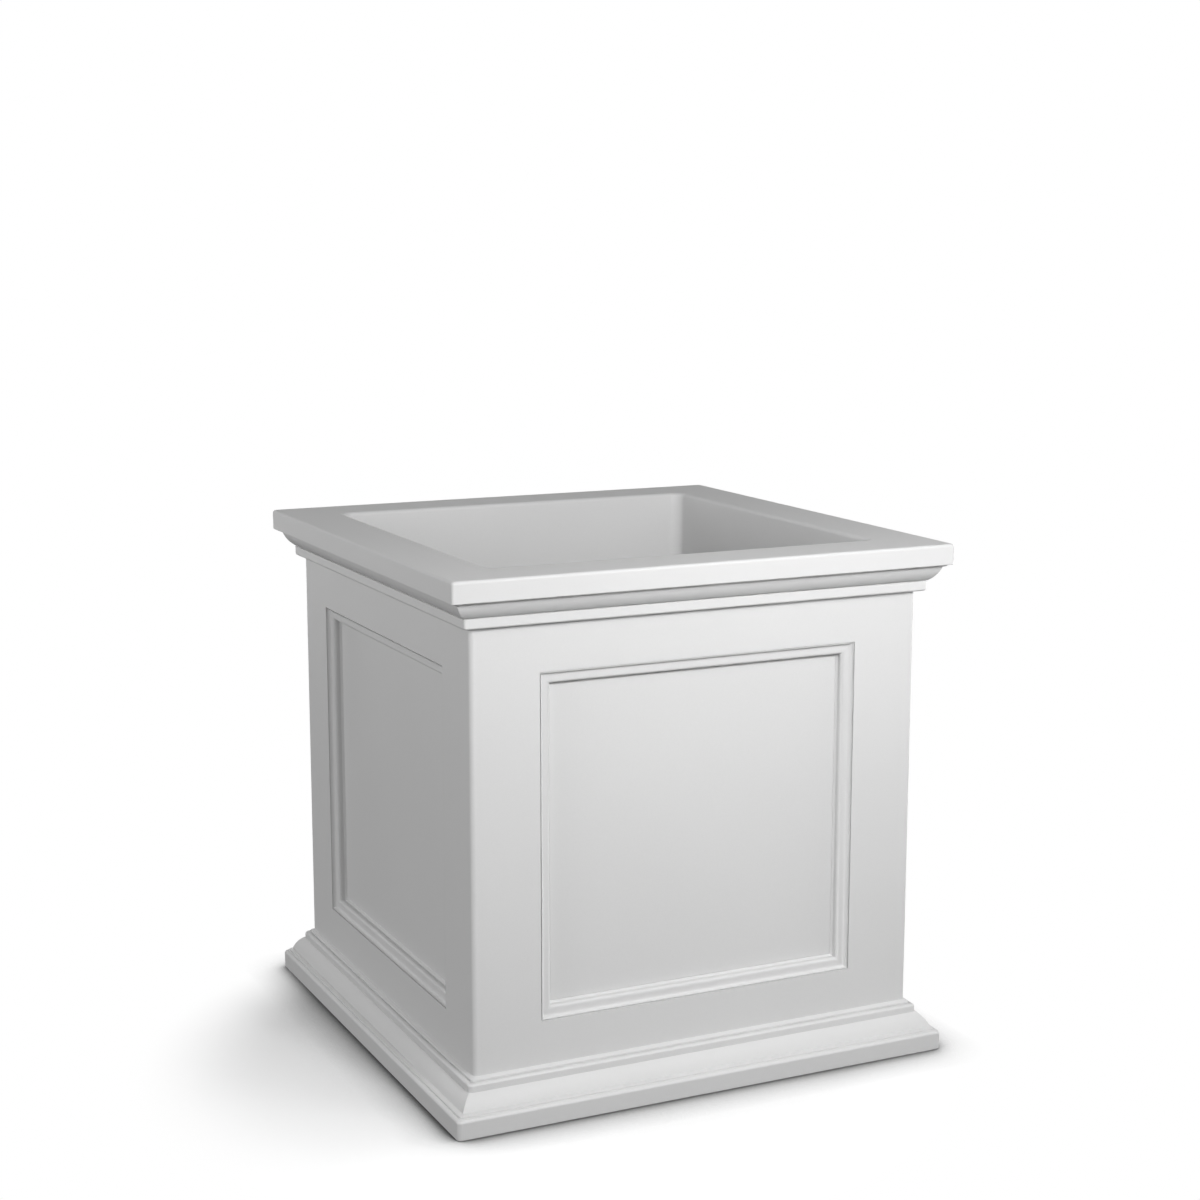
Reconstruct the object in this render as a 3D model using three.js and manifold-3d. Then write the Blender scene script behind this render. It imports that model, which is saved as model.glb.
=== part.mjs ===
// A square panelled planter: a case of four mitred panels on corner posts, held by a plinth and a
// cornice, with a lift-out planting tub whose turned-down rim caps the case. Inside the tub a
// perforated platform on four wick cups keeps the soil above a water reservoir.
// Millimetres, +Z up, origin on the floor at the middle of the plinth, front towards -Y.
import * as THREE from "three";
import { mergeVertices } from "three/addons/utils/BufferGeometryUtils.js";
import Module from "manifold-3d";

const wasm = await Module();
wasm.setup();

// Overall sizes and clearances.
const SIDE = 508; // over the plinth, and over the rim
const HEIGHT = 500; // floor to the top of the rim
const WALL_SETBACK = 26; // plinth and rim faces to the walls between them
const GAP = 0.3; // between neighbours that don't bear on each other
const SLIP = 0.5; // round what lifts out

// Side panels.
const PANEL_THICKNESS = 14;
const STILE = 66; // recess to the vertical corner
const BOTTOM_RAIL = 40.7; // plinth to the recess
const TOP_RAIL = 44.5; // recess to the cornice
const COVE = { width: 6, depth: 4.1, hollow: 0.65 };
const FILLET = 2;
const ROUND = { width: 3.8, depth: 3.6 };
const QUIRK = { riser: 1.6, width: 2.7, depth: 1.2 };
const POCKET = { width: 42, rib: 5, face: 4.5 };

// Mouldings that the cornice and the plinth share, from the wall out.
const BAND_PROUD = 8;
const OVOLO = { height: 13.5, bulge: 1.25, inset: 8, quirk: 0.3 };
const STRIP_INSET = 4;

// Cornice, heights down from the rim's underside.
const RIM_DROP = 20; // visible height of the rim's face
const CORNICE = { strip: 1.3, shelf: 1.2, band: 10, round: 2, wall: 3.5 };

// Plinth, heights up from the floor.
const PLINTH = { face: 15.5, round: 3.4, strip: 1.4, shelf: 1.4, band: 5.3 };
const PLINTH_TOP = { roundOut: 4, roundUp: 2.5, bead: 3.5, riser: 2, slope: 1.8 };
const FOOT = { width: 6, chamfer: 1, hollow: 14, hollowTop: 24 };

// Ledges inside the case that carry and tie its pieces.
const SKIRT = 3.2;
const LEDGE = { bottom: 6, thickness: 6, opening: 200, radius: 14 };
const TIE = { thickness: 4, radius: 14 };

// Corner posts.
const POST = { leg: 30, thickness: 3, block: 13, blockHeight: 20 };

// Case floor.
const FLOOR_THICKNESS = 6;
const SLOT = { width: 8, length: 74, columnPitch: 88, rowPitch: 38, columns: 4, rows: 9 };
const FLOOR_DRAIN_RADIUS = 24;

// Planting tub.
const RIM_WIDTH = 56.5; // rim face to the opening
const RIM_ROUND = 3;
const OPENING_ROUND = 4;
const RIM_CORNER = 4;
const TUB_WALL = 3.5;
const TUB_DRAFT = THREE.MathUtils.degToRad(2);
const TUB_CORNER = 12;
const TUB_EDGE_CLEARANCE = 1.5; // tub to the opening of the cornice's tie
const OVERFLOW = { radius: 5, belowPlatform: 4, sides: 12 };
const DRAIN_RADIUS = 9;

// Reservoir: platform and wick cups.
const RESERVOIR_DEPTH = 58;
const PLATFORM = { thickness: 4, clearance: 2, holeRadius: 4, holePitch: 45, margin: 20, web: 1 };
const CUP = { offset: 100, rim: 28.7, top: 30, foot: 26, flange: 36, flangeHeight: 3, wall: 2.5 };
const CUP_SLOT = { width: 6, bottom: 6, top: 14 };

// Drain bung.
const BUNG = { flange: 16, flangeHeight: 4, stem: 8.4, stemDrop: 3.5, chamfer: 1, tab: [20, 6, 13] };
const SEAL_THICKNESS = 1.5;

// Screws.
const SCREW = { shank: 1.8, hole: 2.3, head: 4, headHeight: 2.5, crown: 2.8 };
const SOCKET = { radius: 1.5, depth: 1.3 };
const SCREW_BITE = { panel: 9, cornice: 12, plinth: 12 };
const PANEL_SCREW_FROM_END = 60;
const PANEL_SCREW_FROM_LEG_END = 12;

// Places that follow from the sizes.
const OUT = SIDE / 2;
const WALL = OUT - WALL_SETBACK;
const PANEL_BACK = WALL - PANEL_THICKNESS;
const SKIRT_IN = WALL + GAP;
const SKIRT_OUT = SKIRT_IN + SKIRT;
const BAND = WALL + BAND_PROUD;
const RIM_BOTTOM = HEIGHT - RIM_DROP;
const CORNICE_BOTTOM =
  RIM_BOTTOM - CORNICE.strip - CORNICE.shelf - OVOLO.height - OVOLO.quirk - CORNICE.band;
const OVOLO_FOOT = PLINTH.face + PLINTH.round + PLINTH.strip + PLINTH.shelf;
const BAND_TOP = OVOLO_FOOT + OVOLO.height + PLINTH.band;
const WALL_FOOT = BAND_TOP + PLINTH_TOP.roundUp + PLINTH_TOP.riser + PLINTH_TOP.slope;
const CASE_BOTTOM = LEDGE.bottom + LEDGE.thickness;
const CASE_TOP = RIM_BOTTOM - TIE.thickness;
const POST_IN = PANEL_BACK - POST.thickness;
const POST_SCREW = PANEL_BACK - POST.block / 2;
const FLOOR_TOP = CASE_BOTTOM + FLOOR_THICKNESS;
const RIM_UNDERSIDE = HEIGHT - TUB_WALL;
const OPENING = OUT - RIM_WIDTH;
const TUB_BOTTOM = FLOOR_TOP + GAP;
const TUB_FLOOR = TUB_BOTTOM + TUB_WALL;
const PLATFORM_BOTTOM = TUB_FLOOR + RESERVOIR_DEPTH;
const PLATFORM_TOP = PLATFORM_BOTTOM + PLATFORM.thickness;
const REACH = 2; // how far a cutting body runs past the face that it opens

const ROUND_STEPS = 3;
const OVOLO_STEPS = 6;
const CORNER_STEPS = 4;
const HOLE_SIDES = 8;
const HEX_SIDES = 6;
const SCREW_SIDES = 10;
const BUNG_SIDES = 24;
const CUP_SIDES = 20;

const GREY = new THREE.Color(0xc4c5c2);
const MATERIALS = {
  shell: plain(GREY, 0.55, 0),
  inner: plain(new THREE.Color(0x8e908d), 0.6, 0),
  hidden: plain(new THREE.Color(0x5d5f5e), 0.65, 0),
  steel: plain(new THREE.Color(0xb9bcc0), 0.35, 1),
  rubber: plain(new THREE.Color(0x26282a), 0.8, 0),
};

function plain(color, roughness, metalness) {
  return new THREE.MeshStandardMaterial({ color, roughness, metalness });
}

// Solids.

function solid(geometry) {
  const bare = geometry.index ? geometry.toNonIndexed() : geometry.clone();
  bare.deleteAttribute("normal");
  bare.deleteAttribute("uv");
  const merged = mergeVertices(bare, 1e-4);
  const vertProperties = merged.attributes.position.array;
  const triVerts = new Uint32Array(merged.index.array);
  return new wasm.Manifold(new wasm.Mesh({ numProp: 3, vertProperties, triVerts }));
}

function geometryOf(body) {
  const { vertProperties, triVerts } = body.getMesh();
  const geometry = new THREE.BufferGeometry();
  geometry.setAttribute("position", new THREE.BufferAttribute(vertProperties, 3));
  geometry.setIndex(new THREE.BufferAttribute(triVerts, 1));
  geometry.computeVertexNormals();
  return geometry;
}

function box([x0, x1], [y0, y1], [z0, z1]) {
  const geometry = new THREE.BoxGeometry(x1 - x0, y1 - y0, z1 - z0);
  return solid(geometry.translate((x0 + x1) / 2, (y0 + y1) / 2, (z0 + z1) / 2));
}

function pin([x, y], radius, [z0, z1], sides = HOLE_SIDES) {
  const geometry = new THREE.CylinderGeometry(radius, radius, z1 - z0, sides);
  return solid(geometry.rotateX(Math.PI / 2).translate(x, y, (z0 + z1) / 2));
}

// A lathe outline of [radius, level] pairs as vectors, wound so that its faces point out.
function latheOutline(outline, stretch = 1) {
  const points = outline.map(([radius, level]) => new THREE.Vector2(radius * stretch, level));
  return THREE.ShapeUtils.area(points) < 0 ? points.reverse() : points;
}

// A round body about Y. The outline starts and ends on the axis, or closes on itself.
function turned(outline, sides) {
  return new THREE.LatheGeometry(latheOutline(outline), sides);
}

// A square body or ring about Y with mitred corners: a lathe of four sides, whose outline is
// given as [half width, level].
function mitred(outline) {
  return new THREE.LatheGeometry(latheOutline(outline, Math.SQRT2), 4).rotateY(Math.PI / 4);
}

function closed(section) {
  return [...section, section[0]];
}

// A body of stacked squares with rounded corners, [half width, level] from the bottom up.
function stackedSquares(levels, radius) {
  const corner = 4 * (CORNER_STEPS + 1);
  const vertices = [];
  for (const [half, z] of levels) {
    for (let quarter = 0; quarter < 4; quarter++) {
      for (let step = 0; step <= CORNER_STEPS; step++) {
        const angle = ((quarter + step / CORNER_STEPS) * Math.PI) / 2;
        const middle = ((quarter + 0.5) * Math.PI) / 2;
        const centre = (half - radius) * Math.SQRT2;
        vertices.push(centre * Math.cos(middle) + radius * Math.cos(angle));
        vertices.push(centre * Math.sin(middle) + radius * Math.sin(angle), z);
      }
    }
  }
  const faces = [];
  const top = (levels.length - 1) * corner;
  for (let i = 0; i < corner; i++) {
    const next = (i + 1) % corner;
    for (let row = 0; row < top; row += corner) {
      faces.push(row + i, row + next, row + corner + next);
      faces.push(row + i, row + corner + next, row + corner + i);
    }
    if (i > 0 && next > 0) {
      faces.push(0, next, i);
      faces.push(top, top + i, top + next);
    }
  }
  const geometry = new THREE.BufferGeometry();
  geometry.setAttribute("position", new THREE.Float32BufferAttribute(vertices, 3));
  geometry.setIndex(faces);
  return solid(geometry);
}

// Section lines, as lists of [out, up].

// A quarter round from an upright tangent at one end to a level tangent at the other.
function quarterRound([upright, uprightLevel], [flat, flatLevel]) {
  const line = [];
  for (let step = 0; step <= ROUND_STEPS; step++) {
    const angle = (step / ROUND_STEPS) * (Math.PI / 2);
    const out = flat + (upright - flat) * Math.cos(angle);
    line.push([out, uprightLevel + (flatLevel - uprightLevel) * Math.sin(angle)]);
  }
  return line;
}

// A shallow arc that stands off its chord by the bulge, to the right of its direction.
function shallowArc(start, end, bulge, steps) {
  const run = [end[0] - start[0], end[1] - start[1]];
  const length = Math.hypot(...run);
  const line = [];
  for (let step = 0; step <= steps; step++) {
    const t = step / steps;
    const rise = (4 * bulge * t * (1 - t)) / length;
    line.push([start[0] + run[0] * t + run[1] * rise, start[1] + run[1] * t - run[0] * rise]);
  }
  return line;
}

function named(name, body, material) {
  const mesh = new THREE.Mesh(body.isBufferGeometry ? body : geometryOf(body), material);
  mesh.name = name;
  return mesh;
}

// The side panel of the front, outer face towards -Y.

// The recess's moulding, from the face in, as [inwards, deep].
function recessMoulding() {
  const cove = shallowArc([0, 0], [COVE.width, COVE.depth], -COVE.hollow, ROUND_STEPS);
  const crest = COVE.width + FILLET;
  const foot = [crest + ROUND.width, COVE.depth + ROUND.depth];
  const round = quarterRound(foot, [crest, COVE.depth]).reverse();
  const riser = [foot[0], foot[1] + QUIRK.riser];
  return [...cove, ...round, riser, [riser[0] + QUIRK.width, riser[1] + QUIRK.depth]];
}

function recess() {
  const halfWidth = WALL - STILE;
  const [low, high] = [WALL_FOOT + BOTTOM_RAIL, CORNICE_BOTTOM - TOP_RAIL];
  const line = recessMoulding();
  const outline = line.map(([inwards, deep]) => [halfWidth - inwards, deep]);
  const depth = line.at(-1)[1];
  const plug = mitred([[0, -REACH], [halfWidth, -REACH], ...outline, [0, depth]]);
  const taller = (high - low) / 2 - halfWidth;
  const corners = plug.attributes.position;
  for (let i = 0; i < corners.count; i++) {
    corners.setZ(i, corners.getZ(i) + Math.sign(Math.round(corners.getZ(i))) * taller);
  }
  return solid(plug.translate(0, -WALL, (low + high) / 2));
}

// The pockets behind the two rails, with ribs between them.
function railPockets() {
  const halfRun = WALL - STILE;
  const pitch = POCKET.width + POCKET.rib;
  const count = Math.floor((2 * halfRun) / pitch);
  const rails = [
    [CASE_BOTTOM + POCKET.rib, WALL_FOOT + BOTTOM_RAIL - POCKET.rib],
    [CORNICE_BOTTOM - TOP_RAIL + POCKET.rib, CASE_TOP - POCKET.rib],
  ];
  const depth = [-WALL + POCKET.face, -PANEL_BACK + REACH];
  const pockets = [];
  for (const rail of rails) {
    for (let i = 0; i < count; i++) {
      const middle = (i - (count - 1) / 2) * pitch;
      pockets.push(box([middle - POCKET.width / 2, middle + POCKET.width / 2], depth, rail));
    }
  }
  return pockets;
}

function sidePanel() {
  const outline = new THREE.Shape();
  const cutBack = GAP / Math.SQRT2; // along x, so that half the gap stays on each side
  outline.moveTo(-WALL + cutBack, -WALL);
  outline.lineTo(WALL - cutBack, -WALL);
  outline.lineTo(PANEL_BACK - cutBack, -PANEL_BACK);
  outline.lineTo(-PANEL_BACK + cutBack, -PANEL_BACK);
  const height = CASE_TOP - CASE_BOTTOM;
  const slab = new THREE.ExtrudeGeometry(outline, { depth: height, bevelEnabled: false });
  let panel = solid(slab.translate(0, 0, CASE_BOTTOM)).subtract(recess());
  for (const pocket of railPockets()) panel = panel.subtract(pocket);
  const holeDepth = SCREW_BITE.panel + GAP;
  for (const [x, z] of panelScrewPlaces()) {
    const drill = new THREE.CylinderGeometry(SCREW.hole, SCREW.hole, holeDepth + REACH, HOLE_SIDES);
    panel = panel.subtract(solid(drill.translate(x, -PANEL_BACK + (REACH - holeDepth) / 2, z)));
  }
  return geometryOf(panel);
}

function panelScrewPlaces() {
  const x = PANEL_BACK - POST.leg + PANEL_SCREW_FROM_LEG_END;
  const levels = [CASE_BOTTOM + PANEL_SCREW_FROM_END, CASE_TOP - PANEL_SCREW_FROM_END];
  return levels.flatMap((z) => [[-x, z], [x, z]]);
}

// The corner post of the front left corner, with its screw blocks at both ends.
function cornerPost() {
  const legEnd = -PANEL_BACK + POST.leg;
  const run = [CASE_BOTTOM, CASE_TOP];
  const blockEnd = -PANEL_BACK + POST.block;
  let post = box([-PANEL_BACK, legEnd], [-PANEL_BACK, -POST_IN], run);
  post = post.add(box([-PANEL_BACK, -POST_IN], [-PANEL_BACK, legEnd], run));
  const blocks = [
    [CASE_BOTTOM, CASE_BOTTOM + POST.blockHeight],
    [CASE_TOP - POST.blockHeight, CASE_TOP],
  ];
  for (const [low, high] of blocks) {
    post = post.add(box([-PANEL_BACK, blockEnd], [-PANEL_BACK, blockEnd], [low, high]));
    const bore = [low - REACH, high + REACH];
    post = post.subtract(pin([-POST_SCREW, -POST_SCREW], SCREW.hole, bore));
  }
  const length = 2 * POST.thickness + REACH;
  for (const [x, z] of panelScrewPlaces().filter(([place]) => place < 0)) {
    const along = new THREE.CylinderGeometry(SCREW.hole, SCREW.hole, length, HOLE_SIDES);
    const across = along.clone().rotateZ(Math.PI / 2);
    post = post.subtract(solid(along.translate(x, -PANEL_BACK, z)));
    post = post.subtract(solid(across.translate(-PANEL_BACK, x, z)));
  }
  return geometryOf(post);
}

// The ovolo that the two frames share, its face to the right of its direction.
function ovolo(start, end) {
  return shallowArc(start, end, OVOLO.bulge, OVOLO_STEPS);
}

function corniceFrame() {
  const shelf = [OUT - OVOLO.inset, RIM_BOTTOM - CORNICE.strip - CORNICE.shelf];
  const foot = [BAND + OVOLO.quirk, shelf[1] - OVOLO.height];
  const strip = OUT - STRIP_INSET;
  const inside = strip - CORNICE.wall;
  const section = [
    [SKIRT_IN, CASE_TOP],
    [SKIRT_IN, CORNICE_BOTTOM],
    ...quarterRound([BAND, CORNICE_BOTTOM + CORNICE.round], [BAND - CORNICE.round, CORNICE_BOTTOM])
      .reverse(),
    [BAND, foot[1] - OVOLO.quirk],
    ...ovolo(foot, shelf),
    [strip, RIM_BOTTOM - CORNICE.strip],
    [strip, RIM_UNDERSIDE],
    [inside, RIM_UNDERSIDE],
    [inside, RIM_BOTTOM + CORNICE.shelf],
    [shelf[0] - CORNICE.wall, RIM_BOTTOM],
    [SKIRT_OUT, foot[1]],
    [SKIRT_OUT, RIM_BOTTOM],
    [SKIRT_IN - REACH, RIM_BOTTOM],
    [SKIRT_IN - REACH, CASE_TOP],
  ];
  const ring = solid(mitred(closed(section)).rotateX(Math.PI / 2));
  const opening = OPENING + TUB_WALL + TUB_EDGE_CLEARANCE;
  const plate = box([-SKIRT_OUT, SKIRT_OUT], [-SKIRT_OUT, SKIRT_OUT], [CASE_TOP, RIM_BOTTOM]);
  const through = [[opening, CASE_TOP - REACH], [opening, RIM_BOTTOM + REACH]];
  return geometryOf(drilledAtPosts(ring.add(plate.subtract(stackedSquares(through, TIE.radius)))));
}

function plinthFrame() {
  const strip = OUT - STRIP_INSET;
  const stripFoot = PLINTH.face + PLINTH.round;
  const bead = WALL + PLINTH_TOP.bead;
  const beadTop = WALL_FOOT - PLINTH_TOP.slope;
  const footIn = OUT - FOOT.width;
  const ovoloTop = OVOLO_FOOT + OVOLO.height;
  const section = [
    [SKIRT_IN, 0],
    [SKIRT_OUT, 0],
    [SKIRT_OUT, FOOT.hollowTop],
    [BAND + CORNICE.wall, FOOT.hollowTop],
    [footIn, FOOT.hollow],
    [footIn, 0],
    [OUT - FOOT.chamfer, 0],
    [OUT, FOOT.chamfer],
    ...quarterRound([OUT, PLINTH.face], [strip, stripFoot]),
    [strip, stripFoot + PLINTH.strip],
    ...ovolo([OUT - OVOLO.inset, OVOLO_FOOT], [BAND + OVOLO.quirk, ovoloTop]),
    [BAND, ovoloTop],
    ...quarterRound([BAND, BAND_TOP], [BAND - PLINTH_TOP.roundOut, BAND_TOP + PLINTH_TOP.roundUp]),
    [bead, BAND_TOP + PLINTH_TOP.roundUp],
    [bead, beadTop],
    [SKIRT_IN, WALL_FOOT],
  ];
  const ring = solid(mitred(closed(section)).rotateX(Math.PI / 2));
  const plate = box([-SKIRT_OUT, SKIRT_OUT], [-SKIRT_OUT, SKIRT_OUT], [LEDGE.bottom, CASE_BOTTOM]);
  const through = [[LEDGE.opening, LEDGE.bottom - REACH], [LEDGE.opening, CASE_BOTTOM + REACH]];
  return geometryOf(drilledAtPosts(ring.add(plate.subtract(stackedSquares(through, LEDGE.radius)))));
}

// Screw holes right through, at the four posts.
function drilledAtPosts(frame) {
  let drilled = frame;
  for (const x of [-POST_SCREW, POST_SCREW]) {
    for (const y of [-POST_SCREW, POST_SCREW]) {
      drilled = drilled.subtract(pin([x, y], SCREW.hole, [-REACH, HEIGHT]));
    }
  }
  return drilled;
}

function caseFloor() {
  const half = POST_IN - GAP;
  const notch = PANEL_BACK - POST.block - GAP;
  const run = [CASE_BOTTOM, FLOOR_TOP];
  const cut = [CASE_BOTTOM - REACH, FLOOR_TOP + REACH];
  let floor = box([-half, half], [-notch, notch], run).add(box([-notch, notch], [-half, half], run));
  for (let column = 0; column < SLOT.columns; column++) {
    for (let row = 0; row < SLOT.rows; row++) {
      const x = (column - (SLOT.columns - 1) / 2) * SLOT.columnPitch;
      const y = (row - (SLOT.rows - 1) / 2) * SLOT.rowPitch;
      const [halfLength, halfWidth] = [SLOT.length / 2, SLOT.width / 2];
      const nearest = [Math.max(Math.abs(x) - halfLength, 0), Math.max(Math.abs(y) - halfWidth, 0)];
      if (Math.hypot(...nearest) < FLOOR_DRAIN_RADIUS + SLOT.width) continue;
      const across = [y - halfWidth, y + halfWidth];
      floor = floor.subtract(box([x - halfLength, x + halfLength], across, cut));
    }
  }
  return geometryOf(floor.subtract(pin([0, 0], FLOOR_DRAIN_RADIUS, cut, BUNG_SIDES)));
}

// The tub's half width inside at a level, from its opening down.
function tubInside(z) {
  return OPENING - (HEIGHT - OPENING_ROUND - z) * Math.tan(TUB_DRAFT);
}

function plantingTub() {
  const edge = quarterRound([OUT, HEIGHT - RIM_ROUND], [OUT - RIM_ROUND, HEIGHT]);
  const rim = stackedSquares([[OUT, RIM_BOTTOM], ...edge], RIM_CORNER);
  const lipInside = OUT - TUB_WALL;
  const channel = [[lipInside, RIM_BOTTOM - REACH], [lipInside, RIM_UNDERSIDE]];
  const outside = [TUB_BOTTOM, RIM_UNDERSIDE + TUB_WALL / 2].map((z) => [tubInside(z) + TUB_WALL, z]);
  const brim = quarterRound([OPENING, HEIGHT - OPENING_ROUND], [OPENING + OPENING_ROUND, HEIGHT]);
  const inside = [[tubInside(TUB_FLOOR), TUB_FLOOR], ...brim, [OPENING + OPENING_ROUND, HEIGHT + REACH]];
  let tub = rim.subtract(stackedSquares(channel, SLIP));
  tub = tub.add(stackedSquares(outside, TUB_CORNER + TUB_WALL));
  tub = tub.subtract(stackedSquares(inside, TUB_CORNER));
  tub = tub.subtract(pin([0, 0], DRAIN_RADIUS, [TUB_BOTTOM - REACH, TUB_FLOOR + REACH], BUNG_SIDES));
  const overflow = new THREE.CylinderGeometry(OVERFLOW.radius, OVERFLOW.radius, SIDE, OVERFLOW.sides);
  const level = PLATFORM_BOTTOM - OVERFLOW.belowPlatform - OVERFLOW.radius;
  return geometryOf(tub.subtract(solid(overflow.rotateZ(Math.PI / 2).translate(0, 0, level))));
}

function cupPlaces() {
  return [[-1, -1], [1, -1], [1, 1], [-1, 1]].map(([x, y]) => [x * CUP.offset, y * CUP.offset]);
}

function soilPlatform() {
  const half = tubInside(PLATFORM_BOTTOM) - PLATFORM.clearance;
  const run = [[half, PLATFORM_BOTTOM], [half, PLATFORM_TOP]];
  const cut = [PLATFORM_BOTTOM - REACH, PLATFORM_TOP + REACH];
  let platform = stackedSquares(run, TUB_CORNER);
  for (const place of cupPlaces()) platform = platform.subtract(pin(place, CUP.rim + SLIP, cut, CUP_SIDES));
  const across = Math.floor((2 * (half - PLATFORM.margin)) / PLATFORM.holePitch);
  const clear = CUP.flange + PLATFORM.holeRadius + PLATFORM.web;
  for (let column = 0; column <= across; column++) {
    for (let row = 0; row <= across; row++) {
      const x = (column - across / 2) * PLATFORM.holePitch;
      const y = (row - across / 2) * PLATFORM.holePitch;
      const free = cupPlaces().every((place) => Math.hypot(x - place[0], y - place[1]) > clear);
      if (free) platform = platform.subtract(pin([x, y], PLATFORM.holeRadius, cut, HEX_SIDES));
    }
  }
  return geometryOf(platform);
}

// A wick cup on its own foot, with its collar up through the platform.
function wickCup() {
  const height = RESERVOIR_DEPTH;
  const outline = [
    [0, 0],
    [CUP.foot, 0],
    [CUP.top, height - CUP.flangeHeight],
    [CUP.flange, height - CUP.flangeHeight],
    [CUP.flange, height],
    [CUP.rim, height],
    [CUP.rim, height + PLATFORM.thickness],
    [CUP.rim - CUP.wall, height + PLATFORM.thickness],
    [CUP.foot - CUP.wall, CUP.wall],
    [0, CUP.wall],
  ];
  let cup = solid(turned(outline, CUP_SIDES).rotateX(Math.PI / 2));
  const slotRun = [CUP_SLOT.bottom, height - CUP_SLOT.top];
  const [half, far] = [CUP_SLOT.width / 2, CUP.flange];
  cup = cup.subtract(box([-far, far], [-half, half], slotRun));
  cup = cup.subtract(box([-half, half], [-far, far], slotRun));
  return geometryOf(cup);
}

function drainBung() {
  const flangeBottom = SEAL_THICKNESS;
  const outline = [
    [0, -TUB_WALL - BUNG.stemDrop],
    [BUNG.stem - BUNG.chamfer, -TUB_WALL - BUNG.stemDrop],
    [BUNG.stem, -TUB_WALL - BUNG.stemDrop + BUNG.chamfer],
    [BUNG.stem, flangeBottom],
    [BUNG.flange, flangeBottom],
    [BUNG.flange, flangeBottom + BUNG.flangeHeight - BUNG.chamfer],
    [BUNG.flange - BUNG.chamfer, flangeBottom + BUNG.flangeHeight],
    [0, flangeBottom + BUNG.flangeHeight],
  ];
  const [length, width, rise] = BUNG.tab.map((size, axis) => (axis < 2 ? size / 2 : size));
  const seat = flangeBottom + BUNG.flangeHeight;
  const tab = box([-length, length], [-width, width], [seat - BUNG.chamfer, seat + rise]);
  return geometryOf(solid(turned(outline, BUNG_SIDES).rotateX(Math.PI / 2)).add(tab));
}

function bungSeal() {
  const [bore, rim] = [BUNG.stem + GAP, BUNG.flange];
  const section = [[bore, 0], [rim, 0], [rim, SEAL_THICKNESS], [bore, SEAL_THICKNESS]];
  return turned(closed(section), BUNG_SIDES).rotateX(Math.PI / 2);
}

// A pan-head screw about Z: the head's underside at the origin, the shank downwards.
function screw(shankLength) {
  const outline = [
    [0, -shankLength],
    [SCREW.shank / 2, -shankLength],
    [SCREW.shank, -shankLength + SCREW.shank],
    [SCREW.shank, 0],
    [SCREW.head, 0],
    [SCREW.head, SCREW.headHeight / 2],
    [SCREW.crown, SCREW.headHeight],
    [0, SCREW.headHeight],
  ];
  const run = [SCREW.headHeight - SOCKET.depth, SCREW.headHeight + REACH];
  const body = solid(turned(outline, SCREW_SIDES).rotateX(Math.PI / 2));
  return geometryOf(body.subtract(pin([0, 0], SOCKET.radius, run, HEX_SIDES)));
}

// The assembly.

const SIDES = ["front", "right", "back", "left"];
const CORNERS = ["front_left", "front_right", "back_right", "back_left"];

// One quarter of the case: a panel, the post at its left end and their screws.
function caseQuarter(index, shapes) {
  const quarter = new THREE.Group();
  quarter.rotation.z = (index * Math.PI) / 2;
  const corner = CORNERS[index];
  quarter.add(named(`side_panel_${SIDES[index]}`, shapes.panel, MATERIALS.shell));
  quarter.add(named(`corner_post_${corner}`, shapes.post, MATERIALS.hidden));
  panelScrewPlaces().forEach(([x, z], place) => {
    const mesh = named(`panel_screw_${SIDES[index]}_${place + 1}`, shapes.panelScrew, MATERIALS.steel);
    mesh.rotation.x = -Math.PI / 2;
    mesh.position.set(x, -POST_IN, z);
    quarter.add(mesh);
  });
  const tie = named(`cornice_screw_${corner}`, shapes.corniceScrew, MATERIALS.steel);
  tie.position.set(-POST_SCREW, -POST_SCREW, RIM_BOTTOM);
  quarter.add(tie);
  const foot = named(`plinth_screw_${corner}`, shapes.plinthScrew, MATERIALS.steel);
  foot.rotation.x = Math.PI;
  foot.position.set(-POST_SCREW, -POST_SCREW, LEDGE.bottom);
  quarter.add(foot);
  return quarter;
}

function plantingCase() {
  const group = new THREE.Group();
  const shapes = {
    panel: sidePanel(),
    post: cornerPost(),
    panelScrew: screw(POST.thickness + SCREW_BITE.panel),
    corniceScrew: screw(TIE.thickness + SCREW_BITE.cornice),
    plinthScrew: screw(LEDGE.thickness + SCREW_BITE.plinth),
  };
  SIDES.forEach((_, index) => group.add(caseQuarter(index, shapes)));
  group.add(named("plinth_frame", plinthFrame(), MATERIALS.shell));
  group.add(named("cornice_frame", corniceFrame(), MATERIALS.shell));
  group.add(named("case_floor", caseFloor(), MATERIALS.hidden));
  return group;
}

function reservoir() {
  const group = new THREE.Group();
  group.add(named("soil_platform", soilPlatform(), MATERIALS.inner));
  const cup = wickCup();
  cupPlaces().forEach(([x, y], index) => {
    const mesh = named(`wick_cup_${CORNERS[index]}`, cup, MATERIALS.inner);
    mesh.position.set(x, y, TUB_FLOOR);
    group.add(mesh);
  });
  return group;
}

function drain() {
  const group = new THREE.Group();
  group.add(named("drain_bung", drainBung(), MATERIALS.hidden));
  group.add(named("bung_seal", bungSeal(), MATERIALS.rubber));
  group.position.z = TUB_FLOOR;
  return group;
}

const planter = new THREE.Group();
planter.add(plantingCase());
planter.add(named("planting_tub", plantingTub(), MATERIALS.shell));
planter.add(reservoir());
planter.add(drain());

export default planter;
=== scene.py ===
"""Looks of a square moulded planter: flat rim, cornice, four recessed panels and a stepped plinth.

Each sub-assembly is a class whose fields are its sizes and whose methods shape its pieces with
mesh operators and dress them. Lengths are in millimetres until a piece is placed, where they
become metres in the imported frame.
"""

from __future__ import annotations

import logging
import math
from collections.abc import Callable, Iterable, Sequence
from dataclasses import dataclass, field
from enum import Enum
from functools import cached_property

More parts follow.
